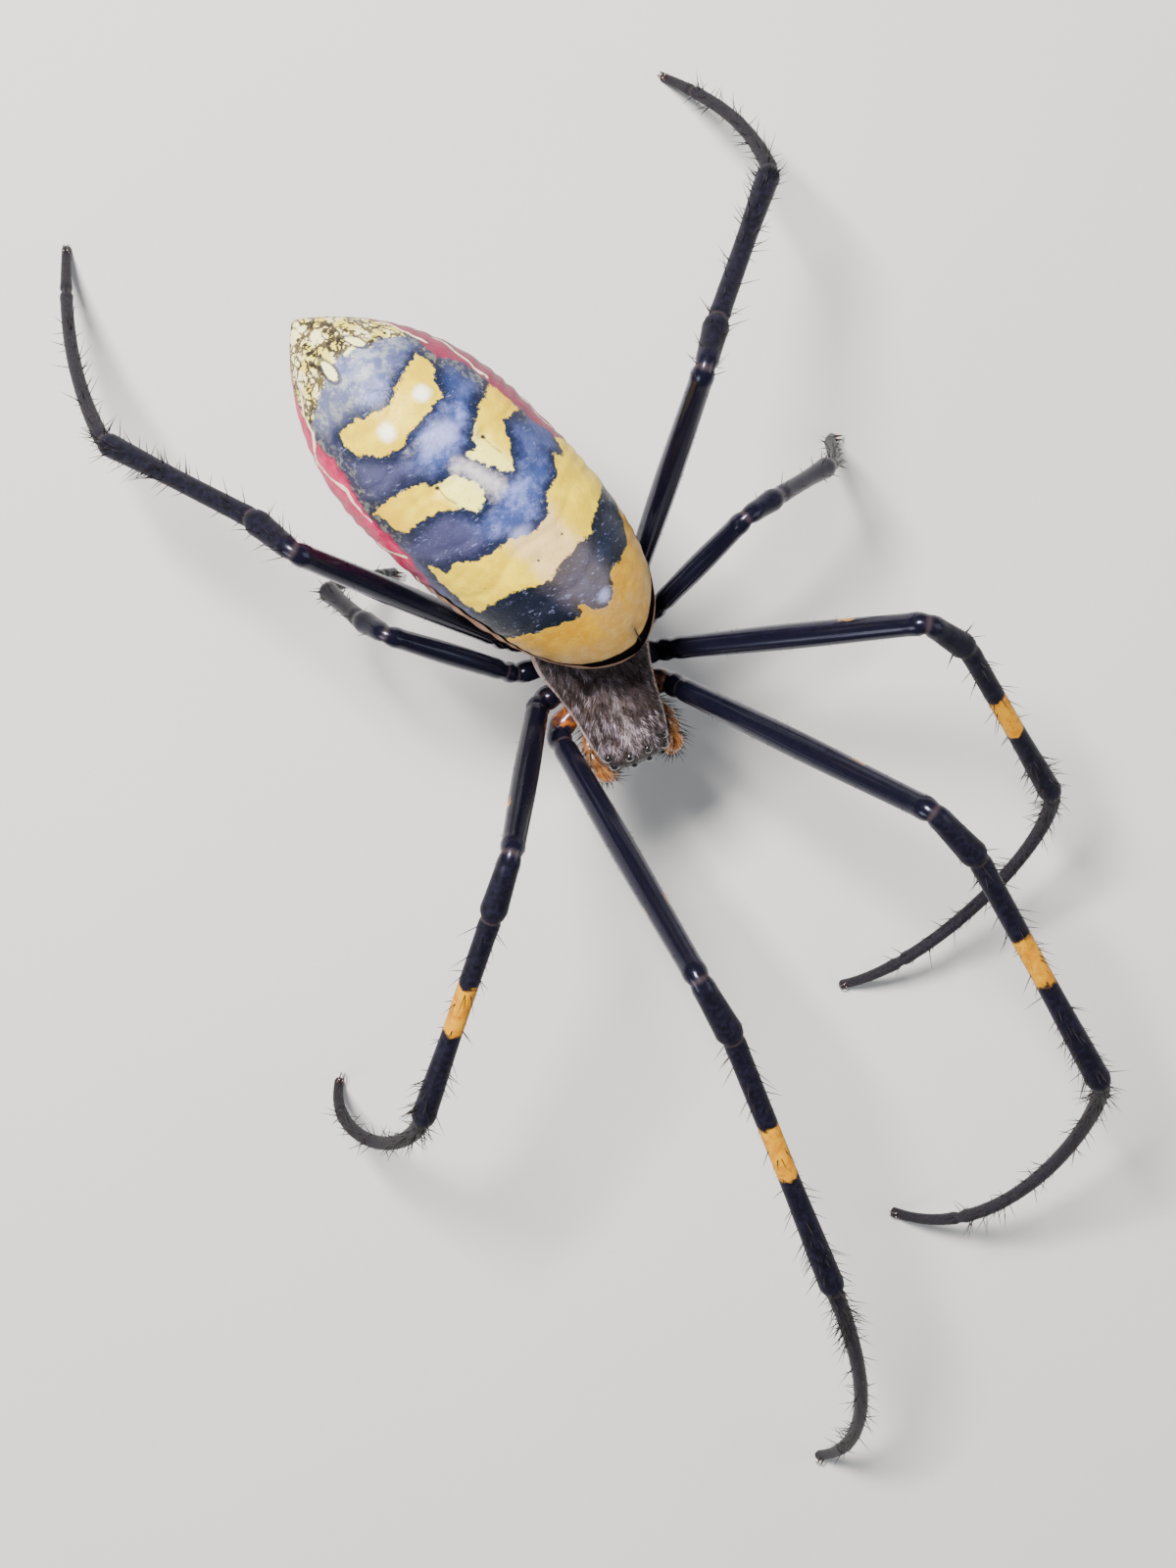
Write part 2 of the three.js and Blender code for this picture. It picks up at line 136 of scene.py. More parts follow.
PARTS = ("coxa", "femur", "patella", "tibia", "metatarsus")
GIRTH = {
    "coxa": (0.34, 0.46),
    "femur": (0.4, 0.46, 0.4),
    "patella": (0.38, 0.46),
    "tibia": (0.36, 0.35, 0.43),
    "metatarsus": (0.29, 0.25, 0.24, 0.19),
}

# The stance. Each direction is (degrees outward from straight ahead, degrees upward), and
# foot is how far outward and ahead of the body's middle the leg comes down.
STANCE = {
    "right_1": dict(femur=(-7, 52), patella=(-5, -24), tibia=(2, -20),
                    shin=(1, -34), toe=(46, -68), foot=(4.3, 32.1)),
    "left_1": dict(femur=(44, 49), patella=(20, -27), tibia=(7, -24),
                   shin=(-4, -59), toe=(-118, -55), foot=(2.0, 24.6)),
    "right_2": dict(femur=(47, 70), patella=(39, -24), tibia=(40, -26),
                    shin=(39, -59), toe=(-130, -80), foot=(14.6, 11.3)),
    "left_2": dict(femur=(77, 39), patella=(33, -41), tibia=(11, -37),
                   shin=(-7, -57), toe=(-84, -55), foot=(3.7, 15.8)),
    "right_3": dict(femur=(136, 35), patella=(136, -60), tibia=(142, -72),
                    shin=(-54, -86), toe=(-45, -80), foot=(5.0, -4.9)),
    "left_3": dict(femur=(118, 40), patella=(92, -41), tibia=(86, -55),
                   shin=(58, -75), toe=(65, -78), foot=(11.3, -2.8)),
    "right_4": dict(femur=(142, 44), patella=(149, -47), tibia=(137, -45),
                    shin=(170, -56), toe=(-160, -58), foot=(10.7, -19.9)),
    "left_4": dict(femur=(144, 46), patella=(134, -49), tibia=(130, -46),
                   shin=(165, -64), toe=(-148, -67), foot=(10.9, -16.8)),
}

# Edges of the abdomen's fields, read in the photo and given in its pixels
PHOTO_WIDTH = 1200
PHOTO_HEIGHT = 1600
FRONT_FIELD = (
    (502, 649), (531, 649), (551, 644), (571, 638), (585, 634), (593, 628), (590, 618),
    (596, 616), (605, 622), (618, 621), (626, 614), (625, 596), (622, 585), (628, 578),
    (635, 566), (639, 551), (638, 536),
)
YELLOW_BANDS = {
    "second": (
        (438, 578), (456, 585), (462, 575), (485, 571), (511, 559), (519, 551), (542, 545),
        (558, 528), (559, 505), (568, 485), (565, 464), (576, 465), (566, 444), (582, 451),
        (602, 474), (615, 495), (609, 511), (604, 534), (605, 545), (591, 554), (574, 574),
        (564, 592), (548, 599), (519, 606), (505, 614), (489, 626), (468, 611), (449, 594)),
    "third_right": (
        (381, 525), (388, 515), (411, 502), (434, 492), (442, 497), (462, 484), (479, 488),
        (492, 499), (495, 512), (488, 521), (468, 518), (445, 524), (429, 531), (416, 544),
        (405, 544), (392, 529)),
    "third_left": (
        (474, 465), (486, 456), (482, 442), (489, 416), (499, 391), (516, 402), (528, 415),
        (514, 429), (519, 451), (524, 479), (514, 482), (491, 474)),
    "fourth": (
        (346, 442), (362, 431), (399, 414), (405, 391), (425, 361), (441, 372), (445, 391),
        (451, 405), (428, 431), (418, 438), (411, 459), (388, 465), (365, 465), (348, 451)),
}
RED_RIGHT = (
    (454, 614), (439, 596), (416, 565), (399, 548), (374, 522), (354, 488), (342, 471),
    (328, 456), (311, 428),
)
RED_LEFT = (
    (565, 445), (542, 428), (525, 411), (502, 394), (485, 379), (468, 369), (444, 362),
    (434, 354), (419, 342),
)

# Other marks, and where those edges run on out of sight, by their places on the skin:
# (fraction of the abdomen's length from the front, degrees around it), with 0 degrees on top
# and positive towards the spider's left
FRONT_FIELD_ENDS = ((0.36, -90), (0.28, 84), (0.4, 92))
RED_RIGHT_ENDS = ((0.3, -96), (0.93, -84))
RED_LEFT_ENDS = ((0.4, 92), (0.85, 78), (0.93, 92))
BACK_MIDDLE = 9.5
# Small round spots: place, then half length and half width in millimetres
TAIL_SPOTS = (((0.893, -10), (0.34, 0.32)), ((0.893, 34), (0.28, 0.3)))
# Two painted highlights: near-white glare painted onto the fourth yellow band, with the skin raised a
# little under them
PAINTED_HIGHLIGHT_SPOTS = (((0.738, 24), (0.42, 0.5)), ((0.738, -8), (0.45, 0.5)))
CENTRE_LINE = ((0.587, 7), (0.55, 11), (0.51, 13))
PALE_SPOTS = (((0.845, 10), (0.75, 0.8)), ((0.18, 12), (0.3, 0.5)), ((0.4, 2), (0.5, 0.6)),
              ((0.66, 12), (0.6, 0.9)))
FRONT_NICKS = (((0.045, 16), (0.42, 0.1)), ((0.195, -7), (0.16, 0.1)),
               ((0.185, 22), (0.16, 0.1)))
CREAM_LINES = (
    ((0.93, -62), (0.9, -60), (0.858, -67), (0.823, -62), (0.79, -73), (0.765, -84)),
    ((0.78, -80), (0.737, -70), (0.703, -59), (0.671, -62), (0.62, -60)),
    ((0.6, -86), (0.564, -80), (0.54, -71), (0.516, -62)),
    ((0.46, -78), (0.41, -82), (0.36, -88), (0.3, -92)),
    ((0.87, 84), (0.853, 78), (0.815, 69), (0.781, 66)),
    ((0.77, 84), (0.718, 73), (0.685, 69), (0.649, 67)),
    ((0.56, 84), (0.53, 80), (0.497, 79), (0.47, 80)),
)
# Pairs of dents beside the middle: place, degrees aside, depth
DENTS = ((0.337, 10.5, 0.45), (0.45, 14, 0.25), (0.588, 20.5, 1.0), (0.69, 15, 0.3))
FOLD_LINES = (((0.587, -11), (0.565, -11), (0.54, -9)), ((0.59, 30), (0.565, 28), (0.542, 29)))
TAIL_EDGE = 0.892
# The dark line round the front end
MARGIN_LINE = (
    (0.5, -86), (0.43, -69), (0.34, -66), (0.287, -64), (0.23, -67), (0.18, -69), (0.125, -65),
    (0.088, -54), (0.064, -38), (0.047, -18), (0.038, 2), (0.041, 20), (0.057, 38), (0.08, 55),
    (0.1, 70), (0.16, 80), (0.27, 86), (0.42, 93), (1.1, 93), (1.1, -86),
)
MM_PER_DEGREE = 0.056
SKIN_RINGS = (0.25, 0.37, 0.48, 0.585, 0.68, 0.765, 0.84, 0.90)
ABDOMEN_SIDES = 300
ABDOMEN_RINGS = 260
CARAPACE_SIDES = 144
CARAPACE_RINGS = 110

CAMERA_TARGET = Vector((-1.8, -3.1, 11.0))
CAMERA_DISTANCE = 109.8
CAMERA_LEAN = math.radians(10)
CAMERA_ROLL = math.radians(24.4)
FOCAL_PIXELS = 3400
SENSOR = 36
SIGHT_SPAN = 15
SIGHT_STEPS = 4000
WORLD_STRENGTH = 0.17
FLOOR_SIZE = 1.2


class WeaverSizes(bpy.types.PropertyGroup):
    leg_sides: IntProperty(
        name="Leg sides", description="Sides of each leg's skin", default=20, min=8)
    leg_step: FloatProperty(
        name="Leg step", description="Distance between the rings of a leg's skin",
        default=0.17 * MM, unit="LENGTH")
    joint_dip: FloatProperty(
        name="Joint dip", description="How far the skin draws in at a joint",
        default=0.05 * MM, unit="LENGTH")
    bristle: FloatProperty(
        name="Bristle", description="Length of a leg's bristles",
        default=0.8 * MM, unit="LENGTH")
    leg_bristles: IntProperty(
        name="Leg bristles", description="Bristles on each leg", default=230)
    leg_down: IntProperty(
        name="Leg down", description="Fine hairs on each leg", default=1000)
    body_down: IntProperty(
        name="Body down", description="Hairs on the carapace", default=9500)


class WeaverColours(bpy.types.PropertyGroup):
    black: FloatVectorProperty(
        name="Black", description="Leg shell", subtype="COLOR",
        default=(0.004, 0.004, 0.007), min=0, max=1)
    grey: FloatVectorProperty(
        name="Grey", description="Feet under their down", subtype="COLOR",
        default=(0.012, 0.011, 0.016), min=0, max=1)
    band: FloatVectorProperty(
        name="Band", description="Golden band of the shins", subtype="COLOR",
        default=(0.58, 0.27, 0.006), min=0, max=1)
    orange: FloatVectorProperty(
        name="Orange", description="Feelers and hips", subtype="COLOR",
        default=(0.36, 0.10, 0.010), min=0, max=1)
    yellow: FloatVectorProperty(
        name="Yellow", description="Bands of the abdomen", subtype="COLOR",
        default=(0.60, 0.41, 0.006), min=0, max=1)
    cream: FloatVectorProperty(
        name="Cream", description="Front of the abdomen", subtype="COLOR",
        default=(0.42, 0.235, 0.012), min=0, max=1)
    blue: FloatVectorProperty(
        name="Blue grey", description="Ground of the abdomen", subtype="COLOR",
        default=(0.035, 0.055, 0.18), min=0, max=1)
    dark: FloatVectorProperty(
        name="Dark", description="Edges of the abdomen's dark bands", subtype="COLOR",
        default=(0.006, 0.009, 0.026), min=0, max=1)
    red: FloatVectorProperty(
        name="Red", description="Flanks of the abdomen", subtype="COLOR",
        default=(0.56, 0.016, 0.10), min=0, max=1)
    shell: FloatVectorProperty(
        name="Shell", description="Carapace under its down", subtype="COLOR",
        default=(0.075, 0.040, 0.042), min=0, max=1)
    silver: FloatVectorProperty(
        name="Silver", description="Down of the carapace and feet", subtype="COLOR",
        default=(0.56, 0.46, 0.53), min=0, max=1)


# Places

def floor_middle():
    """The floor under the middle of the carapace, found from the sternum's solid."""
    low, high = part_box("sternum")
    middle = (low + high) / 2
    back = STERNUM_DROP * MM * math.sin(BODY_PITCH)
    return Vector((middle.x - BODY_ASIDE * MM, middle.y - back, 0))


FLOOR_MIDDLE = floor_middle()
BODY_TURN = Matrix.Rotation(BODY_PITCH, 3, "X")
ABDOMEN_TURN = Matrix.Rotation(ABDOMEN_SWING, 3, "Z") @ Matrix.Rotation(ABDOMEN_RISE, 3, "X")


def to_frame(points):
    """Points in millimetres from the floor's middle, as places in the frame."""
    return np.asarray(points) * MM + np.array(FLOOR_MIDDLE)


def body_points(points):
    """Left, back and up of the carapace's middle, in millimetres from the floor's middle."""
    turned = np.asarray(points) @ np.array(BODY_TURN).T
    return turned + np.array((BODY_ASIDE, 0, BODY_HEIGHT))


def abdomen_points(points):
    turned = np.asarray(points) @ np.array(ABDOMEN_TURN).T
    return turned + np.array(ABDOMEN_CENTRE)


def station_curve(stations, column):
    """A smooth curve through stations whose first value falls, as a function."""
    xs, ys = [], []
    last = len(stations) - 1
    for i in range(last):
        before = stations[max(i - 1, 0)][column]
        start = stations[i][column]
        end = stations[i + 1][column]
        after = stations[min(i + 2, last)][column]
        one = start + (end - before) / 6
        two = end - (after - start) / 6
        for t in np.linspace(0, 1, 17):
            s = 1 - t
            xs.append(stations[i][0] * s + stations[i + 1][0] * t)
            ys.append(start * s ** 3 + 3 * one * s * s * t + 3 * two * s * t * t + end * t ** 3)
    return lambda x: np.interp(x, xs[::-1], ys[::-1])


carapace_width = station_curve(CARAPACE_STATIONS, 1)
carapace_top = station_curve(CARAPACE_STATIONS, 2)
sternum_width = station_curve(STERNUM_STATIONS, 1)


def spread(values, t):
    """Value a fraction t along a few evenly spread values, eased between them."""
    place = np.clip(t, 0, 1) * (len(values) - 1)
    i = np.minimum(place.astype(int), len(values) - 2)
    blend = place - i
    blend = blend * blend * (3 - 2 * blend)
    values = np.asarray(values)
    return values[i] * (1 - blend) + values[i + 1] * blend


def fullness(t):
    """How full the abdomen is a fraction t along it."""
    front = np.clip(1 - t / ABDOMEN_WIDEST, 0, 1)
    tail = np.clip((t - ABDOMEN_WIDEST) / (1 - ABDOMEN_WIDEST), 0, 1)
    return np.sqrt(1 - front ** FRONT_CURVE) * (1 - tail ** TAIL_CURVE) ** TAIL_ROUND


def heading(side, way):
    outward, upward = (math.radians(angle) for angle in way)
    flat = math.cos(upward)
    return Vector((side * math.sin(outward) * flat, -math.cos(outward) * flat, math.sin(upward)))


def bump(distance, width):
    return np.exp(-(distance / width) ** 2)


# Meshes

def deselect():
    if bpy.context.object and bpy.context.object.mode != "OBJECT":
        bpy.ops.object.mode_set(mode="OBJECT")
    bpy.ops.object.select_all(action="DESELECT")


def coords(obj):
    flat = np.empty(len(obj.data.vertices) * 3)
    obj.data.vertices.foreach_get("co", flat)
    return flat.reshape(-1, 3)


def set_coords(obj, points):
    obj.data.vertices.foreach_set("co", np.asarray(points, dtype=np.float32).ravel())
    obj.data.update()


def set_value(obj, name, values):
    """A value for each vertex, which the materials read."""
    layer = obj.data.attributes.new(name, "FLOAT", "POINT")
    layer.data.foreach_set("value", np.asarray(values, dtype=np.float32))


def dress(obj, name, material, slot, *nodes):
    obj.name = name
    obj.data.name = name
    obj.data.materials.clear()
    obj.data.materials.append(material)
    obj.data.shade_smooth()
    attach(obj, "root")
    if nodes:
        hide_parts(*nodes)
    return obj


def ball(segments, rings):
    """A unit ball with its poles ahead and behind, to be shaped."""
    deselect()
    bpy.ops.mesh.primitive_uv_sphere_add(
        segments=segments, ring_count=rings, radius=1, rotation=(math.pi / 2, 0, 0))
    bpy.ops.object.transform_apply(location=True, rotation=True, scale=True)
    obj = bpy.context.object
    bpy.ops.object.mode_set(mode="EDIT")
    bpy.ops.mesh.select_all(action="SELECT")
    bpy.ops.mesh.normals_make_consistent(inside=False)
    bpy.ops.object.mode_set(mode="OBJECT")
    return obj


def tube(points, radii, sides):
    """A closed tube through points in millimetres, thick as the radii say."""
    deselect()
    bpy.ops.curve.primitive_nurbs_path_add()
    obj = bpy.context.object
    curve = obj.data
    curve.splines.clear()
    spline = curve.splines.new("POLY")
    spline.points.add(len(points) - 1)
    places = np.ones((len(points), 4))
    places[:, :3] = to_frame(points)
    spline.points.foreach_set("co", places.ravel())
    spline.points.foreach_set("radius", np.asarray(radii, dtype=float))
    curve.dimensions = "3D"
    curve.bevel_depth = MM
    curve.bevel_resolution = max(sides // 4 - 1, 0)
    curve.use_fill_caps = True
    bpy.ops.object.convert(target="MESH")
    obj = bpy.context.object
    bpy.ops.object.mode_set(mode="EDIT")
    bpy.ops.mesh.select_all(action="SELECT")
    bpy.ops.mesh.remove_doubles(threshold=1e-7)
    bpy.ops.mesh.normals_make_consistent(inside=False)
    bpy.ops.object.mode_set(mode="OBJECT")
    return obj


def join(pieces):
    deselect()
    for obj in pieces:
        obj.select_set(True)
    bpy.context.view_layer.objects.active = pieces[0]
    bpy.ops.object.join()
    return bpy.context.object


def dome(radii, lengths):
    """Radii rounded off at both ends of a limb, over its own thickness."""
    radii = np.asarray(radii, dtype=float)
    total = lengths[-1]
    for ends in (lengths, total - lengths):
        near = np.clip(ends / np.maximum(radii, 1e-6), 0, 1)
        radii = radii * np.sqrt(np.clip(1 - (1 - near) ** 2, 0.02, 1))
    return radii


def curve_points(controls, count):
    """A smooth path through control points."""
    controls = [Vector(c) for c in controls]
    padded = [2 * controls[0] - controls[1], *controls, 2 * controls[-1] - controls[-2]]
    points = []
    for t in np.linspace(0, len(controls) - 1, count):
        i = min(int(t), len(controls) - 2)
        u = t - i
        a, b, c, d = padded[i:i + 4]
        points.append(0.5 * (2 * b + (c - a) * u + (2 * a - 5 * b + 4 * c - d) * u ** 2
                             + (3 * b - a - 3 * c + d) * u ** 3))
    return np.array(points)


def run_lengths(points):
    steps = np.linalg.norm(np.diff(points, axis=0), axis=1)
    return np.concatenate(([0], np.cumsum(steps)))


# Legs

def leg_joints(word, number):
    side = SIDES[word]
    sizes = LEG_SIZES[number]
    stance = STANCE[f"{word}_{number}"]
    left, ahead = sizes["root"]
    root = Vector(body_points((side * left, -ahead, -HIP_DROP)))
    left, ahead = sizes["hip"]
    hip = Vector(body_points((side * left - BODY_ASIDE, -ahead, -HIP_DROP)))
    joints = [root, hip]
    for part in ("femur", "patella", "tibia"):
        joints.append(joints[-1] + heading(side, stance[part]) * sizes[part])
    foot = Vector((side * stance["foot"][0], -stance["foot"][1], 0))
    return joints, foot


def leg_path(word, number, step):
    """The leg's middle line with, at each point, its segment and the fraction along it."""
    side = SIDES[word]
    stance = STANCE[f"{word}_{number}"]
    joints, foot = leg_joints(word, number)
    points, segment, fraction = [], [], []
    for index in range(4):
        start, end = joints[index], joints[index + 1]
        count = max(int((end - start).length / step), 3)
        for t in np.arange(count) / count:
            points.append(start.lerp(end, t))
            segment.append(index)
            fraction.append(t)
    ankle = joints[-1]
    bow = FOOT_BOW * (foot - ankle).length
    one = ankle + heading(side, stance["shin"]) * bow
    two = foot - heading(side, stance["toe"]) * bow
    count = int(1.15 * (foot - ankle).length / step)
    for t in np.linspace(0, 1, count):
        s = 1 - t
        points.append(ankle * s ** 3 + one * 3 * s * s * t + two * 3 * s * t * t + foot * t ** 3)
        segment.append(4)
        fraction.append(t)
    points = np.array(points)
    kernel = bump(np.arange(-4, 5) * step, 0.3)
    kernel /= kernel.sum()
    padded = np.concatenate((np.repeat(points[:1], 4, 0), points, np.repeat(points[-1:], 4, 0)))
    smooth = np.stack([np.convolve(padded[:, k], kernel, "valid") for k in range(3)], 1)
    smooth[-5:] = points[-5:]
    smooth[:3] = points[:3]
    return smooth, np.array(segment), np.array(fraction)


def leg_shape(word, number, step, dip):
    """Middle line, radii and marking values of one leg."""
    points, segment, fraction = leg_path(word, number, step)
    lengths = run_lengths(points)
    girth = LEG_SIZES[number]["girth"]
    radii = np.zeros(len(points))
    for index, part in enumerate(PARTS):
        here = segment == index
        radii[here] = spread(GIRTH[part], fraction[here]) * girth
    radii = np.convolve(np.pad(radii, 2, "edge"), (0.1, 0.2, 0.4, 0.2, 0.1), "valid")
    joints = [lengths[segment == index][0] for index in range(1, 5)]
    foot = segment == 4
    joints.append(np.interp(TARSUS_START, fraction[foot], lengths[foot]))
    joint = np.zeros(len(points))
    joints.append(joints[0] + TROCHANTER * girth)
    for place in joints:
        radii += 0.024 * bump(lengths - place + 0.32, 0.2)
        radii += 0.014 * bump(lengths - place - 0.34, 0.22)
        radii -= dip * bump(lengths - place, 0.13)
        joint = np.maximum(joint, bump(lengths - place, 0.12))
    radii = np.maximum(radii, THINNEST)
    shin = lengths[segment == 3]
    thigh = lengths[segment == 1]
    band = np.full(len(points), NOWHERE)
    patch = np.full(len(points), NOWHERE)
    if number in BAND_GROWTH:
        shin_length = shin[-1] - shin[0]
        half = BAND_HALF * shin_length * BAND_GROWTH[number]
        band = half - np.abs(lengths - (shin[0] + BAND_PLACE * shin_length))
        patch = PATCH_HALF - np.abs(lengths - thigh[0] - PATCH_PLACE * (thigh[-1] - thigh[0]))
    silver = np.clip((lengths - shin[-1]) / 0.8, 0, 1) * (0.3 if number == 3 else 1)
    matt = np.clip((lengths - thigh[-1]) / 0.8, 0, 1) * (0.4 if number == 3 else 1)
    warm = np.clip(1.15 - (lengths - lengths[segment == 0][-1]) / 0.3, 0, 1)
    warm *= WARM_HIPS[number]
    values = dict(joint=joint, band=band, patch=patch, silver=silver, warm=warm, matt=matt)
    return points, radii, values


def nearest(points, places):
    """For each point, the index of the nearest of the places."""
    found = np.empty(len(points), dtype=int)
    for start in range(0, len(points), 2000):
        block = points[start:start + 2000]
        gaps = ((block[:, None, :] - places[None, :, :]) ** 2).sum(2)
        found[start:start + 2000] = gaps.argmin(1)
    return found


class WEAVER_OT_legs(bpy.types.Operator):
    """Skin of each leg from its hip to its foot, with its bands and joints"""
    bl_idname = "weaver.legs"
    bl_label = "Legs"

    def execute(self, context):
        sizes = context.scene.weaver_sizes
        material = leg_material(context.scene.weaver_colours)
        for word in SIDES:
            for number in LEG_SIZES:
                points, radii, values = leg_shape(
                    word, number, sizes.leg_step / MM, sizes.joint_dip / MM)
                lengths = run_lengths(points)
                near = np.clip(lengths / 0.3, 0.1, 1)
                obj = tube(points, radii * np.sqrt(near), sizes.leg_sides)
                found = coords(obj)
                ring = nearest(found, to_frame(points))
                for key, value in values.items():
                    set_value(obj, key, value[ring])
                under = to_frame(points)[ring, 2] - found[:, 2]
                ahead = np.gradient(points, axis=0)
                flat = np.hypot(ahead[:, 0], ahead[:, 1]) / np.linalg.norm(ahead, axis=1)
                set_value(obj, "under", under / (radii * np.maximum(flat, 0.2) * MM)[ring])
                set_value(obj, "steep", (1 - flat)[ring])
                found[:, 2] = np.maximum(found[:, 2], 0)
                set_coords(obj, found)
                nodes = [f"leg_{word}_{number}_{part}" for part in PARTS]
                dress(obj, f"leg_skin_{word}_{number}", material, "black_cuticle", *nodes)
        return {"FINISHED"}


# Carapace

def carapace_height(left, ahead):
    """Height of the carapace's back, with its grooves and eye humps, in millimetres."""
    width = carapace_width(ahead)
    top = carapace_top(ahead)
    height = top * np.sqrt(np.clip(1 - (left / width) ** 2, 0, 1))
    edge = np.clip(1 - (np.abs(left) / width) ** 2, 0, 1)
    side = np.abs(left)
    groove = side - (0.35 + np.clip(ahead + 0.35, 0, 3) * 0.75)
    height -= 0.16 * bump(groove, 0.2) * edge * np.clip((ahead + 0.5) / 0.5, 0, 1) * (ahead < 1.9)
    height -= 0.3 * bump(side, 0.28) * bump(ahead + 0.55, 0.38)
    for spoke in (-0.15, -1.15, -2.0):
        height -= 0.05 * bump(ahead - spoke + 0.25 * side, 0.16) * edge * (side > 0.35)
    return height + 0.1 * eye_humps(left, ahead)


def eye_humps(left, ahead):
    """1 on the dark humps that carry the eyes, falling to 0 around them."""
    side = np.abs(left)
    humps = bump(np.hypot(left, (ahead - 3.0) * 1.1), 0.42) * 0.6
    for left_eye, ahead_eye in EYES.values():
        humps = np.maximum(humps, bump(np.hypot(side - left_eye, ahead - ahead_eye), 0.27))
    return humps


class WEAVER_OT_carapace(bpy.types.Operator):
    """Skin of the carapace, with the head's groove, the pit and the rim"""
    bl_idname = "weaver.carapace"
    bl_label = "Carapace"

    def execute(self, context):
        material = carapace_material(context.scene.weaver_colours)
        obj = ball(CARAPACE_SIDES, CARAPACE_RINGS)
        unit = coords(obj)
        ahead = -CARAPACE_HALF * unit[:, 1]
        width = carapace_width(ahead)
        reach = np.sqrt(np.clip(1 - unit[:, 1] ** 2, 1e-9, 1))
        left = unit[:, 0] / reach * width
        turn = unit[:, 2] / reach
        upper = carapace_height(left, ahead)
        round_up = np.sqrt(np.clip(1 - (left / width) ** 2, 0, 1))
        blend = np.where(round_up > 1e-4, np.abs(turn) / np.maximum(round_up, 1e-4), 1)
        up = np.where(turn > 0, upper * blend, -CARAPACE_EDGE * round_up)
        rim = bump(turn - 0.14, 0.14)
        left = left * (1 + 0.035 * bump(turn - 0.04, 0.1))
        pole = np.abs(unit[:, 1]) > 0.9999
        left[pole] = 0
        up[pole] = 0.05
        set_coords(obj, to_frame(body_points(np.stack((left, -ahead, up), 1))))
        set_value(obj, "left", left)
        set_value(obj, "ahead", ahead)
        set_value(obj, "rim", rim)
        set_value(obj, "eyes", eye_humps(left, ahead) * (turn > 0))
        dress(obj, "carapace_skin", material, "carapace_down", "carapace")

        waist = ball(48, 32)
        unit = coords(waist)
        shape = unit * np.array((1.08, 2.75, 0.75)) + np.array((0, -0.05, -0.75))
        shape[:, 0] *= 1 - 0.25 * np.clip(unit[:, 1], 0, 1)
        set_coords(waist, to_frame(body_points(shape)))
        dress(waist, "side_membrane", membrane_material(), "black_cuticle")
        return {"FINISHED"}


class WEAVER_OT_eyes(bpy.types.Operator):
    """Eight glossy eyes in two rows, each in its own dark ring"""
    bl_idname = "weaver.eyes"
    bl_label = "Eyes"

    def execute(self, context):
        gloss = eye_material()
        ring = eye_ring_material()
        for word, side in SIDES.items():
            for name in EYES:
                node = f"eye_{word}_{name}"
                low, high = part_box(node)
                middle = np.array((low + high) / 2)
                radius = (high.x - low.x) / 2
                obj = ball(32, 20)
                set_coords(obj, coords(obj) * radius * 1.12 + middle)
                dress(obj, f"eye_lens_{word}_{name}", gloss, "eye_gloss", node)
                deselect()
                bpy.ops.mesh.primitive_torus_add(
                    major_segments=32, minor_segments=10, major_radius=radius * 1.12,
                    minor_radius=radius * 0.3)
                rim = bpy.context.object
                facing = Vector((side * EYES[name][0] * 0.7, -0.75, 0.8)).normalized()
                if "back" in name:
                    facing = Vector((side * EYES[name][0] * 0.8, -0.25, 1)).normalized()
                turn = np.array((BODY_TURN @ facing).to_track_quat("Z", "Y").to_matrix())
                set_coords(rim, coords(rim) @ turn.T + middle)
                dress(rim, f"eye_ring_{word}_{name}", ring, "black_cuticle")
        return {"FINISHED"}


class WEAVER_OT_underside(bpy.types.Operator):
    """Sternum, lip, chewing plates and waist"""
    bl_idname = "weaver.underside"
    bl_label = "Underside"

    def execute(self, context):
        shell = shell_material()
        obj = ball(72, 48)
        unit = coords(obj)
        ahead = -1.7 * unit[:, 1]
        width = sternum_width(ahead)
        reach = np.sqrt(np.clip(1 - unit[:, 1] ** 2, 1e-9, 1))
        left = unit[:, 0] / reach * width * np.clip(reach * 3, 0, 1)
        up = -STERNUM_DROP + unit[:, 2] / reach * 0.27 * np.clip(reach * 2.5, 0, 1)
        up -= 0.1 * bump(left, 0.6) * (unit[:, 2] < 0)
        lobes = bump(np.abs(left) - 0.72 * width, 0.22) * (unit[:, 2] < 0)
        for place in (1.0, 0.25, -0.5, -1.1):
            up -= 0.09 * bump(ahead - place, 0.2) * lobes
        set_coords(obj, to_frame(body_points(np.stack((left, -ahead, up), 1))))
        dress(obj, "sternum_skin", shell, "black_cuticle", "sternum")

        pieces = []
        lip = ball(32, 20)
        set_coords(lip, to_frame(body_points(
            coords(lip) * np.array((0.42, 0.42, 0.28)) + np.array((0, -2.05, -1.95)))))
        pieces.append(lip)
        for side in SIDES.values():
            plate = ball(40, 24)
            shape = coords(plate) * np.array((0.36, 0.75, 0.42))
            shape[:, 0] += side * (0.62 + 0.16 * shape[:, 1])
            shape += np.array((0, -2.2, -1.85))
            set_coords(plate, to_frame(body_points(shape)))
            pieces.append(plate)
        dress(join(pieces), "chewing_plates", shell, "black_cuticle")

        start = body_points((0, CARAPACE_HALF - 0.2, -0.08))
        root, out = belly(WAIST_PLACE)
        end = abdomen_points(root - out * 0.3)
        bend = (start + end) / 2 + np.array((0, 0.36, -0.2))
        path = curve_points((start, bend, end), 24)
        radii = 0.34 + 0.03 * np.cos(np.linspace(0, 7 * math.pi, 24))
        dress(tube(path, radii, 24), "waist_skin", membrane_material(), "black_cuticle", "pedicel")
        return {"FINISHED"}


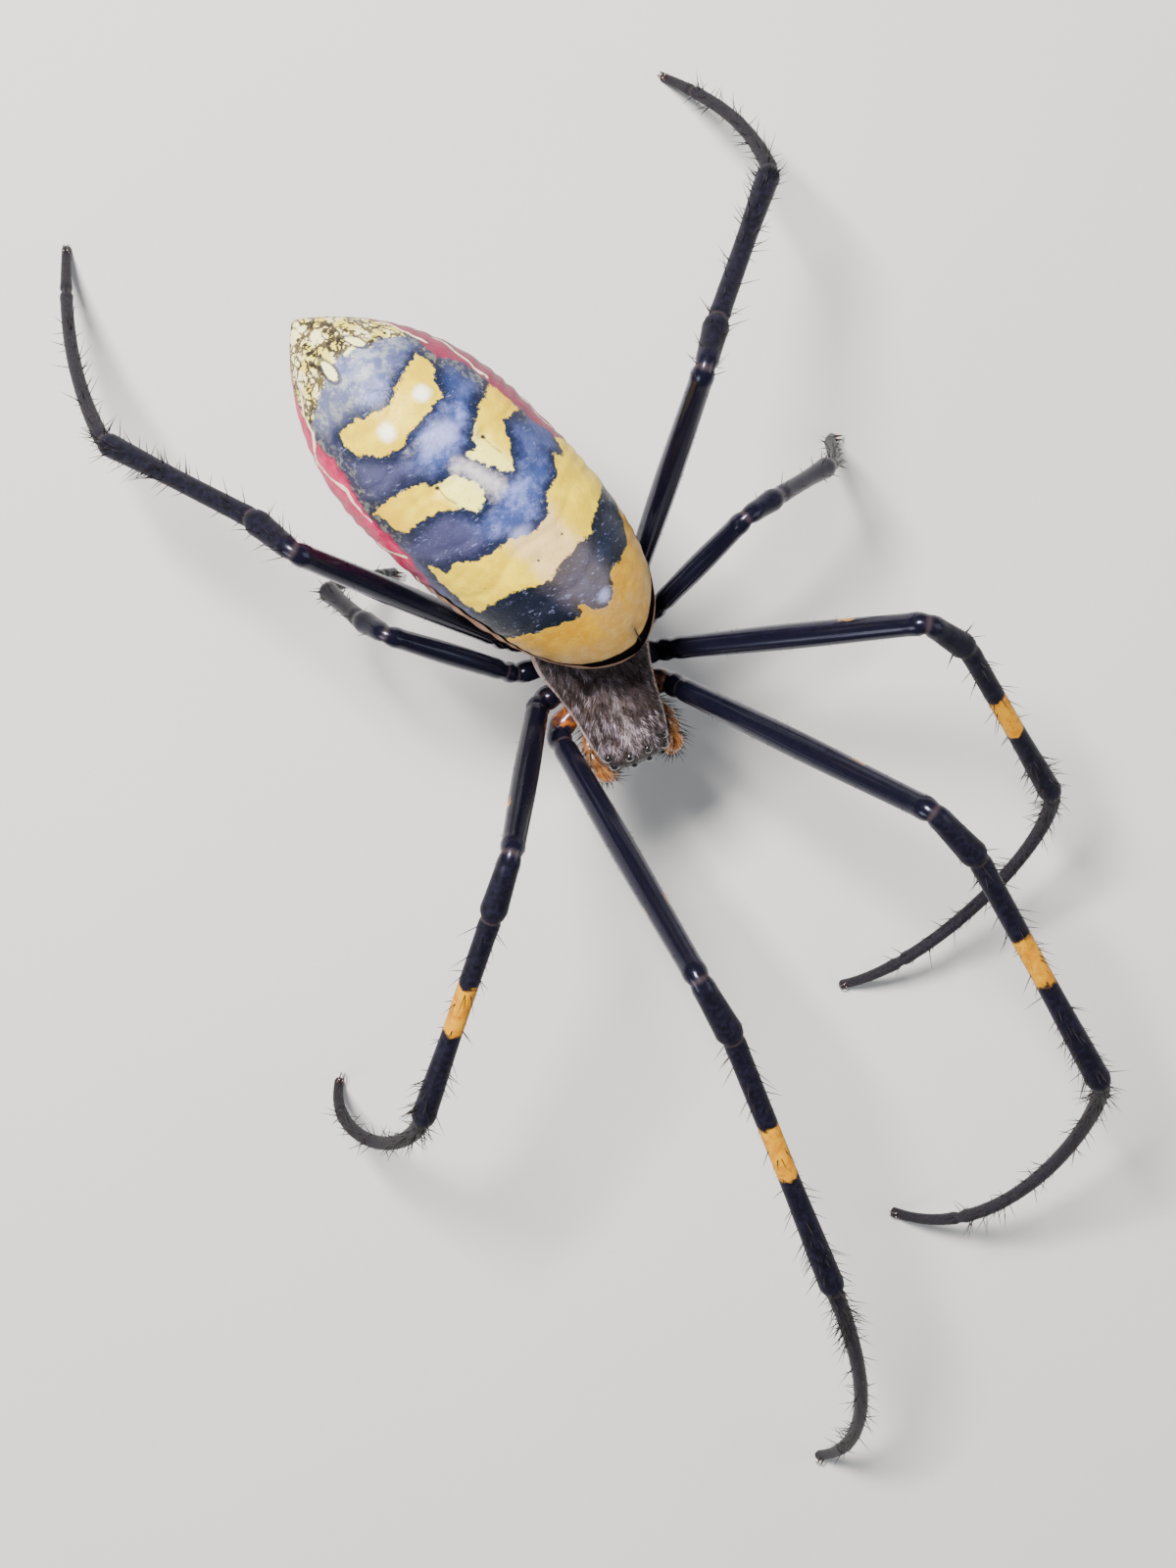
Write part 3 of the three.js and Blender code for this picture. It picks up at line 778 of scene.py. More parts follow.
class WEAVER_OT_mouthparts(bpy.types.Operator):
    """Jaws with their fangs, and the jointed feelers"""
    bl_idname = "weaver.mouthparts"
    bl_label = "Jaws and feelers"

    def execute(self, context):
        shell = shell_material()
        orange = feeler_material(context.scene.weaver_colours)
        fang_gloss = fang_material()
        for word, side in SIDES.items():
            def at(left, ahead, up):
                return body_points((side * left, -ahead, up))
            path = curve_points((at(0.5, 2.6, -0.2), at(0.52, 2.85, -0.9),
                                 at(0.52, 3.0, -1.8), at(0.5, 2.95, -2.8)), 40)
            radii = spread((0.37, 0.47, 0.47, 0.41, 0.34), np.linspace(0, 1, 40))
            jaw = tube(path, dome(radii, run_lengths(path)), 32)
            dress(jaw, f"jaw_skin_{word}", shell, "black_cuticle", f"chelicera_{word}")
            path = curve_points((at(0.54, 2.98, -2.7), at(0.62, 2.95, -3.2),
                                 at(0.5, 2.75, -3.6), at(0.2, 2.5, -3.62)), 30)
            radii = spread((0.2, 0.17, 0.12, 0.02), np.linspace(0, 1, 30))
            dress(tube(path, radii, 20), f"fang_hook_{word}", fang_gloss, "black_cuticle",
                  f"fang_{word}")
            path, radii = feeler_shape(side)
            feeler = tube(path, dome(radii, run_lengths(path)), 24)
            set_value(feeler, "tip", (run_lengths(path) / run_lengths(path)[-1])[
                nearest(coords(feeler), to_frame(path))])
            dress(feeler, f"feeler_{word}", orange, "orange_cuticle", f"pedipalp_{word}")
        return {"FINISHED"}


def feeler_shape(side):
    path = curve_points([body_points((side * left, -ahead, up)) for left, ahead, up in (
        (0.52, 1.6, -0.9), (0.84, 1.93, -1.12), (1.14, 2.2, -1.25), (1.36, 2.65, -1.12),
        (1.42, 3.1, -0.95), (1.34, 3.75, -1.0), (1.12, 4.15, -1.5), (1.0, 4.3, -2.3))], FEELER_STEPS)
    t = np.linspace(0, 1, FEELER_STEPS)
    radii = spread((0.19, 0.21, 0.25, 0.29, 0.28, 0.27, 0.11), t)
    for joint in (0.24, 0.53, 0.65, 0.8):
        radii -= 0.055 * bump(t - joint, 0.018)
        radii += 0.02 * bump(t - joint + 0.05, 0.03)
    return path, radii


# Abdomen

def belly(t):
    """A place on the middle line of the belly and the way out of it."""
    places = np.array((t - 0.01, t, t + 0.01))
    y = (places - 0.5) * ABDOMEN_LENGTH
    z = -ABDOMEN_BELLY * fullness(places)
    out = np.array((0, z[2] - z[0], y[0] - y[2]))
    return np.array((0, y[1], z[1])), out / np.linalg.norm(out)


def abdomen_surface(t, angle):
    """A place on the abdomen's skin, in its own axes, with its dents and folds."""
    size = fullness(t)
    lift = np.where(np.cos(angle) > 0, ABDOMEN_TOP, ABDOMEN_BELLY)
    x = np.sin(angle) * ABDOMEN_WIDTH / 2 * size
    z = np.cos(angle) * lift * size
    y = (t - 0.5) * ABDOMEN_LENGTH
    degrees = np.degrees(angle)
    sink = np.zeros_like(t)
    for place, half, depth in DENTS:
        for side in (-1, 1):
            across = (degrees - BACK_MIDDLE - side * half) * MM_PER_DEGREE
            sink += 0.16 * depth * bump(np.hypot((t - place) * ABDOMEN_LENGTH, across), 0.2)
            sink += 0.05 * depth * bump(np.hypot((t - place) * ABDOMEN_LENGTH, across), 0.6)
    back = np.clip(np.cos(angle), 0, 1)
    for place in SKIN_RINGS:
        wander = 0.012 * np.sin(degrees * 0.11 + place * 40)
        sink += 0.045 * bump((t - place - wander) * ABDOMEN_LENGTH, 0.14) * (0.3 + 0.7 * back)
    folds = np.sin(t * 150 + 1.3 * np.sin(degrees * 0.09) + 2 * np.sin(t * 31))
    flank = bump(np.abs(degrees) - 85, 38)
    sink += 0.022 * folds * flank * np.clip(4 * t * (1 - t), 0, 1)
    for (place, middle), _ in FRONT_NICKS[:1]:
        sink += 0.2 * bump(np.hypot((t - place) * 12, (degrees - middle) / 22), 0.35)
    # The skin rises a little under the two painted highlights
    for place, middle in (place for place, _ in PAINTED_HIGHLIGHT_SPOTS):
        sink -= 0.07 * bump(np.hypot((t - place) * 15, (degrees - middle) * MM_PER_DEGREE), 0.55)
    shrink = 1 - sink / np.maximum(np.hypot(x, z), 0.6)
    return np.stack((x * shrink, y, z * shrink), 1)


def camera_pose():
    """Where the camera stands, in millimetres from the floor's middle, and how it is turned."""
    back = Vector((0, math.sin(CAMERA_LEAN), math.cos(CAMERA_LEAN)))
    right = Vector((1, 0, 0))
    level = Matrix((right, back.cross(right), back)).transposed()
    return CAMERA_TARGET + back * CAMERA_DISTANCE, level @ Matrix.Rotation(-CAMERA_ROLL, 3, "Z")


def seen_on_abdomen(pixels):
    """Where the lines of sight through the photo's pixels meet the abdomen's plain form.

    Each row is a fraction of its length and degrees around it. A line of sight that misses
    gives the place where it passes nearest.
    """
    place, turn = camera_pose()
    columns, rows = np.array(pixels, dtype=float).T
    rays = np.stack(((columns - PHOTO_WIDTH / 2) / FOCAL_PIXELS,
                     (PHOTO_HEIGHT / 2 - rows) / FOCAL_PIXELS, -np.ones(len(rows))), 1)
    rays /= np.linalg.norm(rays, axis=1, keepdims=True)
    rays = rays @ np.array(turn).T @ np.array(ABDOMEN_TURN)
    start = np.array(place - ABDOMEN_CENTRE) @ np.array(ABDOMEN_TURN)
    reach = CAMERA_DISTANCE + np.linspace(-SIGHT_SPAN, SIGHT_SPAN, SIGHT_STEPS)
    x, y, z = np.moveaxis(start + reach[:, None, None] * rays, 2, 0)
    t = y / ABDOMEN_LENGTH + 0.5
    aside = x / (ABDOMEN_WIDTH / 2)
    above = z / np.where(z > 0, ABDOMEN_TOP, ABDOMEN_BELLY)
    depth = np.hypot(aside, above) / fullness(np.clip(t, 0.001, 0.999))
    depth[(t < 0) | (t > 1)] = np.inf
    met = depth <= 1
    step = np.where(met.any(axis=0), met.argmax(axis=0), depth.argmin(axis=0))
    ray = np.arange(len(step))
    return np.stack((t[step, ray], np.degrees(np.arctan2(aside, above))[step, ray]), 1)


def edge_on_abdomen(pixels, ends, column):
    """An edge seen in the photo, with its hidden ends, in the order of one column."""
    places = np.concatenate((seen_on_abdomen(pixels), ends))
    return places[np.argsort(places[:, column])].T


def inside_outline(t, degrees, outline):
    """How far inside a closed outline each place is, in millimetres of skin."""
    x, y = t * ABDOMEN_LENGTH, degrees * MM_PER_DEGREE
    corners = np.array(outline) * (ABDOMEN_LENGTH, MM_PER_DEGREE)
    nearest_side = np.full_like(x, np.inf)
    crossings = np.zeros(len(x), dtype=int)
    for start, end in zip(corners, np.roll(corners, -1, axis=0)):
        nearest_side = np.minimum(nearest_side, from_side(x, y, start, end))
        spans = (start[1] > y) != (end[1] > y)
        rise = end[1] - start[1] or 1e-9
        crossings += spans & (x < start[0] + (y - start[1]) * (end[0] - start[0]) / rise)
    return np.where(crossings % 2 == 1, nearest_side, -nearest_side)


def from_side(x, y, start, end):
    """Distance of each place from a straight side."""
    run = end - start
    share = np.clip(((x - start[0]) * run[0] + (y - start[1]) * run[1]) / (run @ run), 0, 1)
    return np.hypot(x - start[0] - share * run[0], y - start[1] - share * run[1])


def from_line(t, degrees, line):
    """Distance of each place from an open line, in millimetres of skin."""
    x, y = t * ABDOMEN_LENGTH, degrees * MM_PER_DEGREE
    corners = np.array(line) * (ABDOMEN_LENGTH, MM_PER_DEGREE)
    sides = [from_side(x, y, *ends) for ends in zip(corners[:-1], corners[1:])]
    return np.minimum.reduce(sides)


def from_spots(t, degrees, spots):
    """1 in the middle of round spots, falling to 0 at their edge and below it outside."""
    values = []
    for (place, middle), (half_length, half_width) in spots:
        values.append(1 - np.hypot((t - place) * ABDOMEN_LENGTH / half_length,
                                   (degrees - middle) * MM_PER_DEGREE / half_width))
    return np.maximum.reduce(values)


def marking_values(t, degrees):
    """What the abdomen's material reads at each place."""
    edge, angles = edge_on_abdomen(FRONT_FIELD, FRONT_FIELD_ENDS, 1)
    front = (np.interp(degrees, angles, edge) - t) * ABDOMEN_LENGTH
    bands = [inside_outline(t, degrees, seen_on_abdomen(outline))
             for outline in YELLOW_BANDS.values()]
    along, start = edge_on_abdomen(RED_RIGHT, RED_RIGHT_ENDS, 0)
    right = (np.interp(t, along, start) - degrees) * MM_PER_DEGREE
    along, start = edge_on_abdomen(RED_LEFT, RED_LEFT_ENDS, 0)
    left = (degrees - np.interp(t, along, start)) * MM_PER_DEGREE
    lines = np.minimum.reduce([from_line(t, degrees, line) for line in CREAM_LINES])
    folds = np.minimum.reduce([from_line(t, degrees, line) for line in FOLD_LINES])
    tail = (t - TAIL_EDGE + 0.045 * (degrees / 52) ** 2) * ABDOMEN_LENGTH
    size = fullness(t)
    lift = np.where(np.abs(degrees) < 90, ABDOMEN_TOP, ABDOMEN_BELLY)
    height = np.cos(np.radians(degrees)) * lift * size
    dents = np.zeros_like(t)
    for place, half, depth in DENTS:
        for side in (-1, 1):
            across = (degrees - BACK_MIDDLE - side * half) * MM_PER_DEGREE
            away = np.hypot((t - place) * ABDOMEN_LENGTH, across)
            dents = np.maximum(dents, bump(away, 0.045 + 0.07 * depth))
    return dict(
        front=front,
        band=np.maximum.reduce(bands),
        red=np.maximum(right, left),
        lines=lines,
        folds=folds,
        tail=tail,
        spots=from_spots(t, degrees, TAIL_SPOTS),
        # Painted highlight: where the near-white glare on the fourth yellow band is painted
        painted_highlight=from_spots(t, degrees, PAINTED_HIGHLIGHT_SPOTS),
        heart=0.3 - from_line(t, degrees, CENTRE_LINE),
        pale=from_spots(t, degrees, PALE_SPOTS),
        nicks=from_spots(t, degrees, FRONT_NICKS),
        middle=np.abs(degrees - BACK_MIDDLE) * MM_PER_DEGREE,
        aside=(degrees - BACK_MIDDLE) * MM_PER_DEGREE,
        height=height,
        margin=inside_outline(t, degrees, MARGIN_LINE),
        dents=dents,
        along=t,
        around=np.abs(degrees) / 180,
    )


class WEAVER_OT_abdomen(bpy.types.Operator):
    """Skin of the abdomen with its bands, flanks, dents and folds"""
    bl_idname = "weaver.abdomen"
    bl_label = "Abdomen"

    def execute(self, context):
        obj = ball(ABDOMEN_SIDES, ABDOMEN_RINGS)
        unit = coords(obj)
        t = np.clip(0.5 + 0.496 * unit[:, 1], 0.002, 0.998)
        angle = np.arctan2(unit[:, 0], unit[:, 2])
        set_coords(obj, to_frame(abdomen_points(abdomen_surface(t, angle))))
        for key, value in marking_values(t, np.degrees(angle)).items():
            set_value(obj, key, value)
        material = abdomen_material(context.scene.weaver_colours)
        dress(obj, "abdomen_skin", material, "abdomen_skin", "abdomen")
        return {"FINISHED"}


class WEAVER_OT_spinnerets(bpy.types.Operator):
    """Spinning tubes under the tail and the plate under the belly's front"""
    bl_idname = "weaver.spinnerets"
    bl_label = "Spinnerets"

    def execute(self, context):
        material = shell_material()
        root, out = belly(SPINNERET_PLACE)
        steps = np.linspace(-0.4, 1, 8)[:, None]
        mound = root + out * MOUND_HEIGHT * steps
        pieces = [tube(abdomen_points(mound), (0.5, 0.7, 0.76, 0.78, 0.77, 0.74, 0.68, 0.52), 32)]
        for side in SIDES.values():
            for aside, behind, radius, length in TUBES:
                start = root + np.array((side * aside, behind, 0)) + out * 0.1
                way = out + np.array((side * 0.12, 0, 0))
                path = start + way * length * np.linspace(0, 1.1, 18)[:, None]
                radii = radius * spread((1, 0.98, 0.8, 0.42), np.linspace(0, 1, 18))
                radii[9] *= 0.82
                pieces.append(tube(abdomen_points(path), radii, 20))
        dress(join(pieces), "spinneret_skin", material, "black_cuticle", "spinnerets")

        plate = ball(48, 28)
        shape = coords(plate) * np.array((0.62, 0.5, 0.16))
        shape += np.array((0, -0.20 * ABDOMEN_LENGTH, -ABDOMEN_BELLY * 0.93))
        set_coords(plate, to_frame(abdomen_points(shape)))
        dress(plate, "belly_plate", material, "black_cuticle")
        return {"FINISHED"}


# Hairs

def hairs(name, roots, ways, lengths, widths, places, material, slot, tint=None):
    """Many fine tapered hairs in one mesh, each straight, with a narrower ring at half its length."""
    count = len(roots)
    ways = ways / np.linalg.norm(ways, axis=1, keepdims=True)
    helper = np.where(np.abs(ways[:, 2:3]) < 0.9, (0, 0, 1.0), (1.0, 0, 0))
    across = np.cross(ways, helper)
    across /= np.linalg.norm(across, axis=1, keepdims=True)
    beside = np.cross(ways, across)
    points = np.empty((count, 7, 3))
    for corner in range(3):
        turn = 2 * math.pi * corner / 3
        out = across * math.cos(turn) + beside * math.sin(turn)
        points[:, corner] = roots + out * widths[:, None]
        points[:, 3 + corner] = (roots + ways * lengths[:, None] * 0.5
                                 + out * widths[:, None] * 0.62)
    points[:, 6] = roots + ways * lengths[:, None]
    corners = [(0, 2, 1)]
    for a in range(3):
        b = (a + 1) % 3
        corners += [(a, b, 3 + b), (a, 3 + b, 3 + a), (3 + a, 3 + b, 6)]
    faces = np.array(corners)[None] + 7 * np.arange(count)[:, None, None]
    faces = faces.reshape(-1, 3)
    deselect()
    bpy.ops.mesh.primitive_plane_add()
    obj = bpy.context.object
    mesh = obj.data
    mesh.clear_geometry()
    mesh.from_pydata(to_frame(points.reshape(-1, 3)).tolist(), [], faces.tolist())
    mesh.update()
    if "OFBake" not in mesh.uv_layers:
        mesh.uv_layers.new(name="OFBake")
    for other in [uv for uv in mesh.uv_layers if uv.name != "OFBake"]:
        mesh.uv_layers.remove(other)
    layer = mesh.uv_layers["OFBake"]
    local = np.array([(0, 0), (1, 0), (0, 1), (0.3, 0.3), (0.8, 0.3), (0.3, 0.8), (1, 1)])
    spots = np.clip(places, 0, 0.996)[:, None, :] + local[None] * HAIR_PATCH
    spots = spots.reshape(-1, 2)
    layer.data.foreach_set("uv", spots[faces.ravel()].ravel().astype(np.float32))
    if tint is None:
        tint = np.random.default_rng(count).random(count)
    set_value(obj, "tint", np.repeat(tint, 7))
    dress(obj, name, material, slot)
    return obj


def leg_hair_roots(word, number, sizes, chosen, rng, span, lean):
    """Roots and directions of hairs on a leg, between two fractions of its length."""
    points, radii, _ = leg_shape(word, number, HAIR_STEP, sizes.joint_dip / MM)
    lengths = run_lengths(points)
    place = rng.uniform(lengths[-1] * span[0], lengths[-1] * span[1], chosen)
    if span[0] < SHIN_SPAN[0] < span[1]:
        brush = chosen // 3
        low, high = SHIN_SPAN
        place[:brush] = lengths[-1] * rng.triangular(low, high, high + 0.005, brush)
    index = np.clip(np.searchsorted(lengths, place), 1, len(points) - 2)
    ahead = points[index + 1] - points[index - 1]
    ahead /= np.linalg.norm(ahead, axis=1, keepdims=True)
    random = rng.normal(size=(chosen, 3))
    out = random - (random * ahead).sum(1, keepdims=True) * ahead
    out /= np.linalg.norm(out, axis=1, keepdims=True)
    roots = points[index] + out * (radii[index] - 0.03)[:, None]
    ways = out * math.cos(lean) + ahead * math.sin(lean)
    keep = (roots + ways * 0.9)[:, 2] > 0.05
    around = (np.arctan2(out[:, 0], out[:, 1]) / math.pi + 1) / 2
    spots = np.stack((place / lengths[-1], around), 1)
    return roots[keep], ways[keep], spots[keep]


class WEAVER_OT_bristles(bpy.types.Operator):
    """Black bristles and silvery down of the legs and feelers"""
    bl_idname = "weaver.bristles"
    bl_label = "Bristles"

    def execute(self, context):
        sizes = context.scene.weaver_sizes
        rng = np.random.default_rng(7)
        black = bristle_material()
        silver = down_material("leg_down", (0.008, 0.007, 0.008), (0.055, 0.048, 0.05))
        for word, side in SIDES.items():
            for number, leg in LEG_SIZES.items():
                scale = leg["girth"] * (0.75 if number == 3 else 1)
                for label, spans, count, length, width, lean, material in (
                        ("bristles", (0.36, 0.93), sizes.leg_bristles, sizes.bristle / MM,
                         0.022, 0.75, black),
                        ("thigh_hair", (0.07, 0.5), sizes.leg_down // 8, 0.24, 0.010, 0.8, black),
                        ("down", (0.62, 0.995), sizes.leg_down, 0.2, 0.008, 1.15, silver)):
                    roots, ways, spots = leg_hair_roots(
                        word, number, sizes, int(count * scale * HAIR_SHARE[number]),
                        rng, spans, lean)
                    ways = ways + rng.normal(size=ways.shape) * 0.12
                    long = length * rng.uniform(0.55, 1.15, len(roots)) * scale
                    wide = np.full(len(roots), width)
                    hairs(f"leg_{label}_{word}_{number}", roots, ways, long, wide, spots,
                          material, "black_cuticle")
            path, radii = feeler_shape(side)
            count = FEELER_BRISTLES
            index = rng.integers(20, 88, count)
            ahead = path[index + 1] - path[index - 1]
            ahead /= np.linalg.norm(ahead, axis=1, keepdims=True)
            out = rng.normal(size=(count, 3))
            out -= (out * ahead).sum(1, keepdims=True) * ahead
            out /= np.linalg.norm(out, axis=1, keepdims=True)
            roots = path[index] + out * (radii[index] * 0.9)[:, None]
            ways = out + ahead * 0.9
            spots = np.stack((index / FEELER_STEPS, rng.random(count)), 1)
            hairs(f"feeler_bristles_{word}", roots, ways, rng.uniform(0.3, 0.75, count),
                  np.full(count, 0.015), spots, black, "black_cuticle")
        return {"FINISHED"}


class WEAVER_OT_down(bpy.types.Operator):
    """Silvery down lying forward on the carapace"""
    bl_idname = "weaver.down"
    bl_label = "Down"

    def execute(self, context):
        sizes = context.scene.weaver_sizes
        rng = np.random.default_rng(11)
        count = sizes.body_down
        ahead = rng.uniform(-3.1, 3.25, count * 2)
        across = rng.uniform(-0.95, 0.95, count * 2)
        left = across * carapace_width(ahead)
        bare = bump(np.hypot(left, ahead + 0.55), 0.3)
        spots = np.sin(ahead * 9.1 + 3 * np.sin(left * 5)) * np.sin(left * 8.3) > 0.55
        keep = (rng.random(count * 2) > bare) & ~(spots & (rng.random(count * 2) > 0.35))
        keep &= (eye_humps(left, ahead) < 0.35) & (ahead + rng.uniform(0, 0.2, count * 2) < 3.15)
        left, ahead = left[keep][:count], ahead[keep][:count]
        step = 0.02
        height = carapace_height(left, ahead)
        slope_x = (carapace_height(left + step, ahead) - height) / step
        slope_y = (carapace_height(left, ahead - step) - height) / step
        normal = np.stack((-slope_x, -slope_y, np.ones_like(left)), 1)
        normal = np.clip(normal, -4, 4)
        normal /= np.linalg.norm(normal, axis=1, keepdims=True)
        roots = np.stack((left, -ahead, height), 1) - normal * 0.02
        lie = np.stack((0.25 * left, -np.ones_like(left), np.zeros_like(left)), 1)
        lie -= (lie * normal).sum(1, keepdims=True) * normal
        lie /= np.linalg.norm(lie, axis=1, keepdims=True)
        ways = lie + normal * rng.uniform(0.05, 0.42, (len(left), 1))
        ways = ways + rng.normal(size=lie.shape) * 0.3
        turned = ways @ np.array(BODY_TURN).T
        places = np.stack(((ahead + CARAPACE_HALF) / (2 * CARAPACE_HALF), (left + 2.5) / 5), 1)
        patches = np.sin(ahead * 5.1 + 2 * np.sin(left * 4.1)) * np.sin(left * 6.3 + 1.4 * ahead)
        patches += 0.6 * np.sin(ahead * 11.3 + 3 * np.sin(left * 9.1)) * np.sin(left * 14.7 + ahead)
        streaks = np.sin(19 * left + 2 * np.sin(2.1 * ahead + 3 * left))
        patches = 0.14 + 0.42 * patches + 0.3 * streaks
        # Paler down along the middle is the hair's own streak; the paler patch on the head is partly the
        # silver hair and partly painted highlight standing in for the glints there
        patches += 0.25 * bump(left + 0.05, 0.2) + 0.32 * bump(ahead - 2.1, 0.6)
        patches -= 0.5 * np.clip((ahead - 2.65) / 0.3, 0, 1)
        patches -= 0.25 * bump(ahead + 2.4, 0.9) + 0.2 * bump(left - 0.9, 0.35)
        tint = np.clip(patches + rng.normal(size=len(left)) * 0.2, 0, 1) ** 1.6
        silver = tuple(context.scene.weaver_colours.silver)
        hairs("carapace_down", body_points(roots), turned, rng.uniform(0.2, 0.42, len(left)),
              rng.uniform(0.007, 0.015, len(left)), places,
              down_material("silver_down", (0.022, 0.012, 0.010), silver), "carapace_down", tint)
        return {"FINISHED"}


class WEAVER_OT_claws(bpy.types.Operator):
    """Two small curved claws at the end of each foot"""
    bl_idname = "weaver.claws"
    bl_label = "Claws"

    def execute(self, context):
        material = fang_material()
        for word in SIDES:
            for number in LEG_SIZES:
                points = leg_shape(word, number, HAIR_STEP, 0)[0]
                tip = points[-4]
                ahead = points[-1] - points[-5]
                ahead /= np.linalg.norm(ahead)
                flat = np.array((ahead[0], ahead[1], 0))
                flat /= np.linalg.norm(flat)
                beside = np.array((-flat[1], flat[0], 0))
                pieces = []
                for side in SIDES.values():
                    start = tip + flat * 0.12 + beside * side * 0.07
                    path = curve_points((
                        start,
                        start + flat * 0.16 + np.array((0, 0, 0.02)),
                        start + flat * 0.3 + np.array((0, 0, -0.1)),
                        (start + flat * 0.34) * (1, 1, 0) + np.array((0, 0, 0.03)),
                    ), 12)
                    path[:, 2] = np.maximum(path[:, 2], 0.05)
                    pieces.append(tube(path, np.linspace(0.05, 0.012, 12), 8))
                dress(join(pieces), f"claws_{word}_{number}", material, "black_cuticle")
        return {"FINISHED"}


# Materials

class Shader:
    """A material's nodes, built up by short calls."""

    def __init__(self, name):
        self.material = bpy.data.materials.new(name)
        self.material.use_nodes = True
        self.tree = self.material.node_tree
        self.surface = self.tree.nodes["Principled BSDF"]
        coordinates = self.node("ShaderNodeTexCoord")
        scale = self.node("ShaderNodeVectorMath")
        scale.operation = "SCALE"
        self.tree.links.new(coordinates.outputs["Object"], scale.inputs[0])
        scale.inputs["Scale"].default_value = 1 / MM
        self.place = scale.outputs[0]

    def node(self, kind):
        return self.tree.nodes.new(kind)

    def put(self, value, socket):
        if isinstance(value, bpy.types.NodeSocket):
            self.tree.links.new(value, socket)
        elif hasattr(value, "__len__"):
            socket.default_value = (*value[:3], 1)
        else:
            socket.default_value = value

    def value(self, name):
        node = self.node("ShaderNodeAttribute")
        node.attribute_name = name
        return node.outputs["Fac"]

    def noise(self, scale, detail=3, roughness=0.55, stretch=None):
        node = self.node("ShaderNodeTexNoise")
        node.inputs["Scale"].default_value = scale
        node.inputs["Detail"].default_value = detail
        node.inputs["Roughness"].default_value = roughness
        if stretch:
            mapping = self.node("ShaderNodeMapping")
            mapping.inputs["Scale"].default_value = stretch
            self.tree.links.new(self.place, mapping.inputs["Vector"])
            self.tree.links.new(mapping.outputs[0], node.inputs["Vector"])
        else:
            self.tree.links.new(self.place, node.inputs["Vector"])
        return node.outputs["Fac"]

    def cells(self, scale):
        node = self.node("ShaderNodeTexVoronoi")
        node.inputs["Scale"].default_value = scale
        self.tree.links.new(self.place, node.inputs["Vector"])
        return node.outputs["Distance"]

    def wavy_cells(self, scale, wave):
        """Distance from the edges of cells whose sides wander."""
        shift = self.node("ShaderNodeTexNoise")
        shift.inputs["Scale"].default_value = 2 * scale
        shift.inputs["Detail"].default_value = 3
        self.tree.links.new(self.place, shift.inputs["Vector"])
        moved = self.node("ShaderNodeVectorMath")
        moved.operation = "MULTIPLY_ADD"
        moved.inputs[1].default_value = (wave, wave, wave)
        self.tree.links.new(shift.outputs["Color"], moved.inputs[0])
        self.tree.links.new(self.place, moved.inputs[2])
        node = self.node("ShaderNodeTexVoronoi")
        node.feature = "DISTANCE_TO_EDGE"
        node.inputs["Scale"].default_value = scale
        self.tree.links.new(moved.outputs[0], node.inputs["Vector"])
        return node.outputs["Distance"]

    def math(self, operation, a, b=0.0, c=0.0):
        node = self.node("ShaderNodeMath")
        node.operation = operation
        for value, socket in zip((a, b, c), node.inputs):
            self.put(value, socket)
        return node.outputs[0]

    def fade(self, value, low, high):
        """0 below low and 1 above high, eased between."""
        node = self.node("ShaderNodeMapRange")
        node.interpolation_type = "SMOOTHSTEP"
        self.put(value, node.inputs["Value"])
        node.inputs["From Min"].default_value = min(low, high)
        node.inputs["From Max"].default_value = max(low, high)
        node.inputs["To Min"].default_value = 0 if low < high else 1
        node.inputs["To Max"].default_value = 1 if low < high else 0
        return node.outputs["Result"]

    def mix(self, factor, a, b):
        node = self.node("ShaderNodeMix")
        node.data_type = "RGBA"
        self.put(factor, node.inputs["Factor"])
        sockets = [socket for socket in node.inputs if socket.type == "RGBA"]
        self.put(a, sockets[0])
        self.put(b, sockets[1])
        return [socket for socket in node.outputs if socket.type == "RGBA"][0]

    def bump(self, height, distance, strength=1.0):
        node = self.node("ShaderNodeBump")
        self.put(height, node.inputs["Height"])
        node.inputs["Distance"].default_value = distance * MM
        node.inputs["Strength"].default_value = strength
        self.tree.links.new(node.outputs[0], self.surface.inputs["Normal"])

    def finish(self, colour, roughness, **fixed):
        self.put(colour, self.surface.inputs["Base Color"])
        self.put(roughness, self.surface.inputs["Roughness"])
        for name, value in fixed.items():
            socket = self.surface.inputs[name.replace("_", " ")]
            if socket.type == "RGBA":
                value = (*value, 1)
            socket.default_value = value
        return self.material


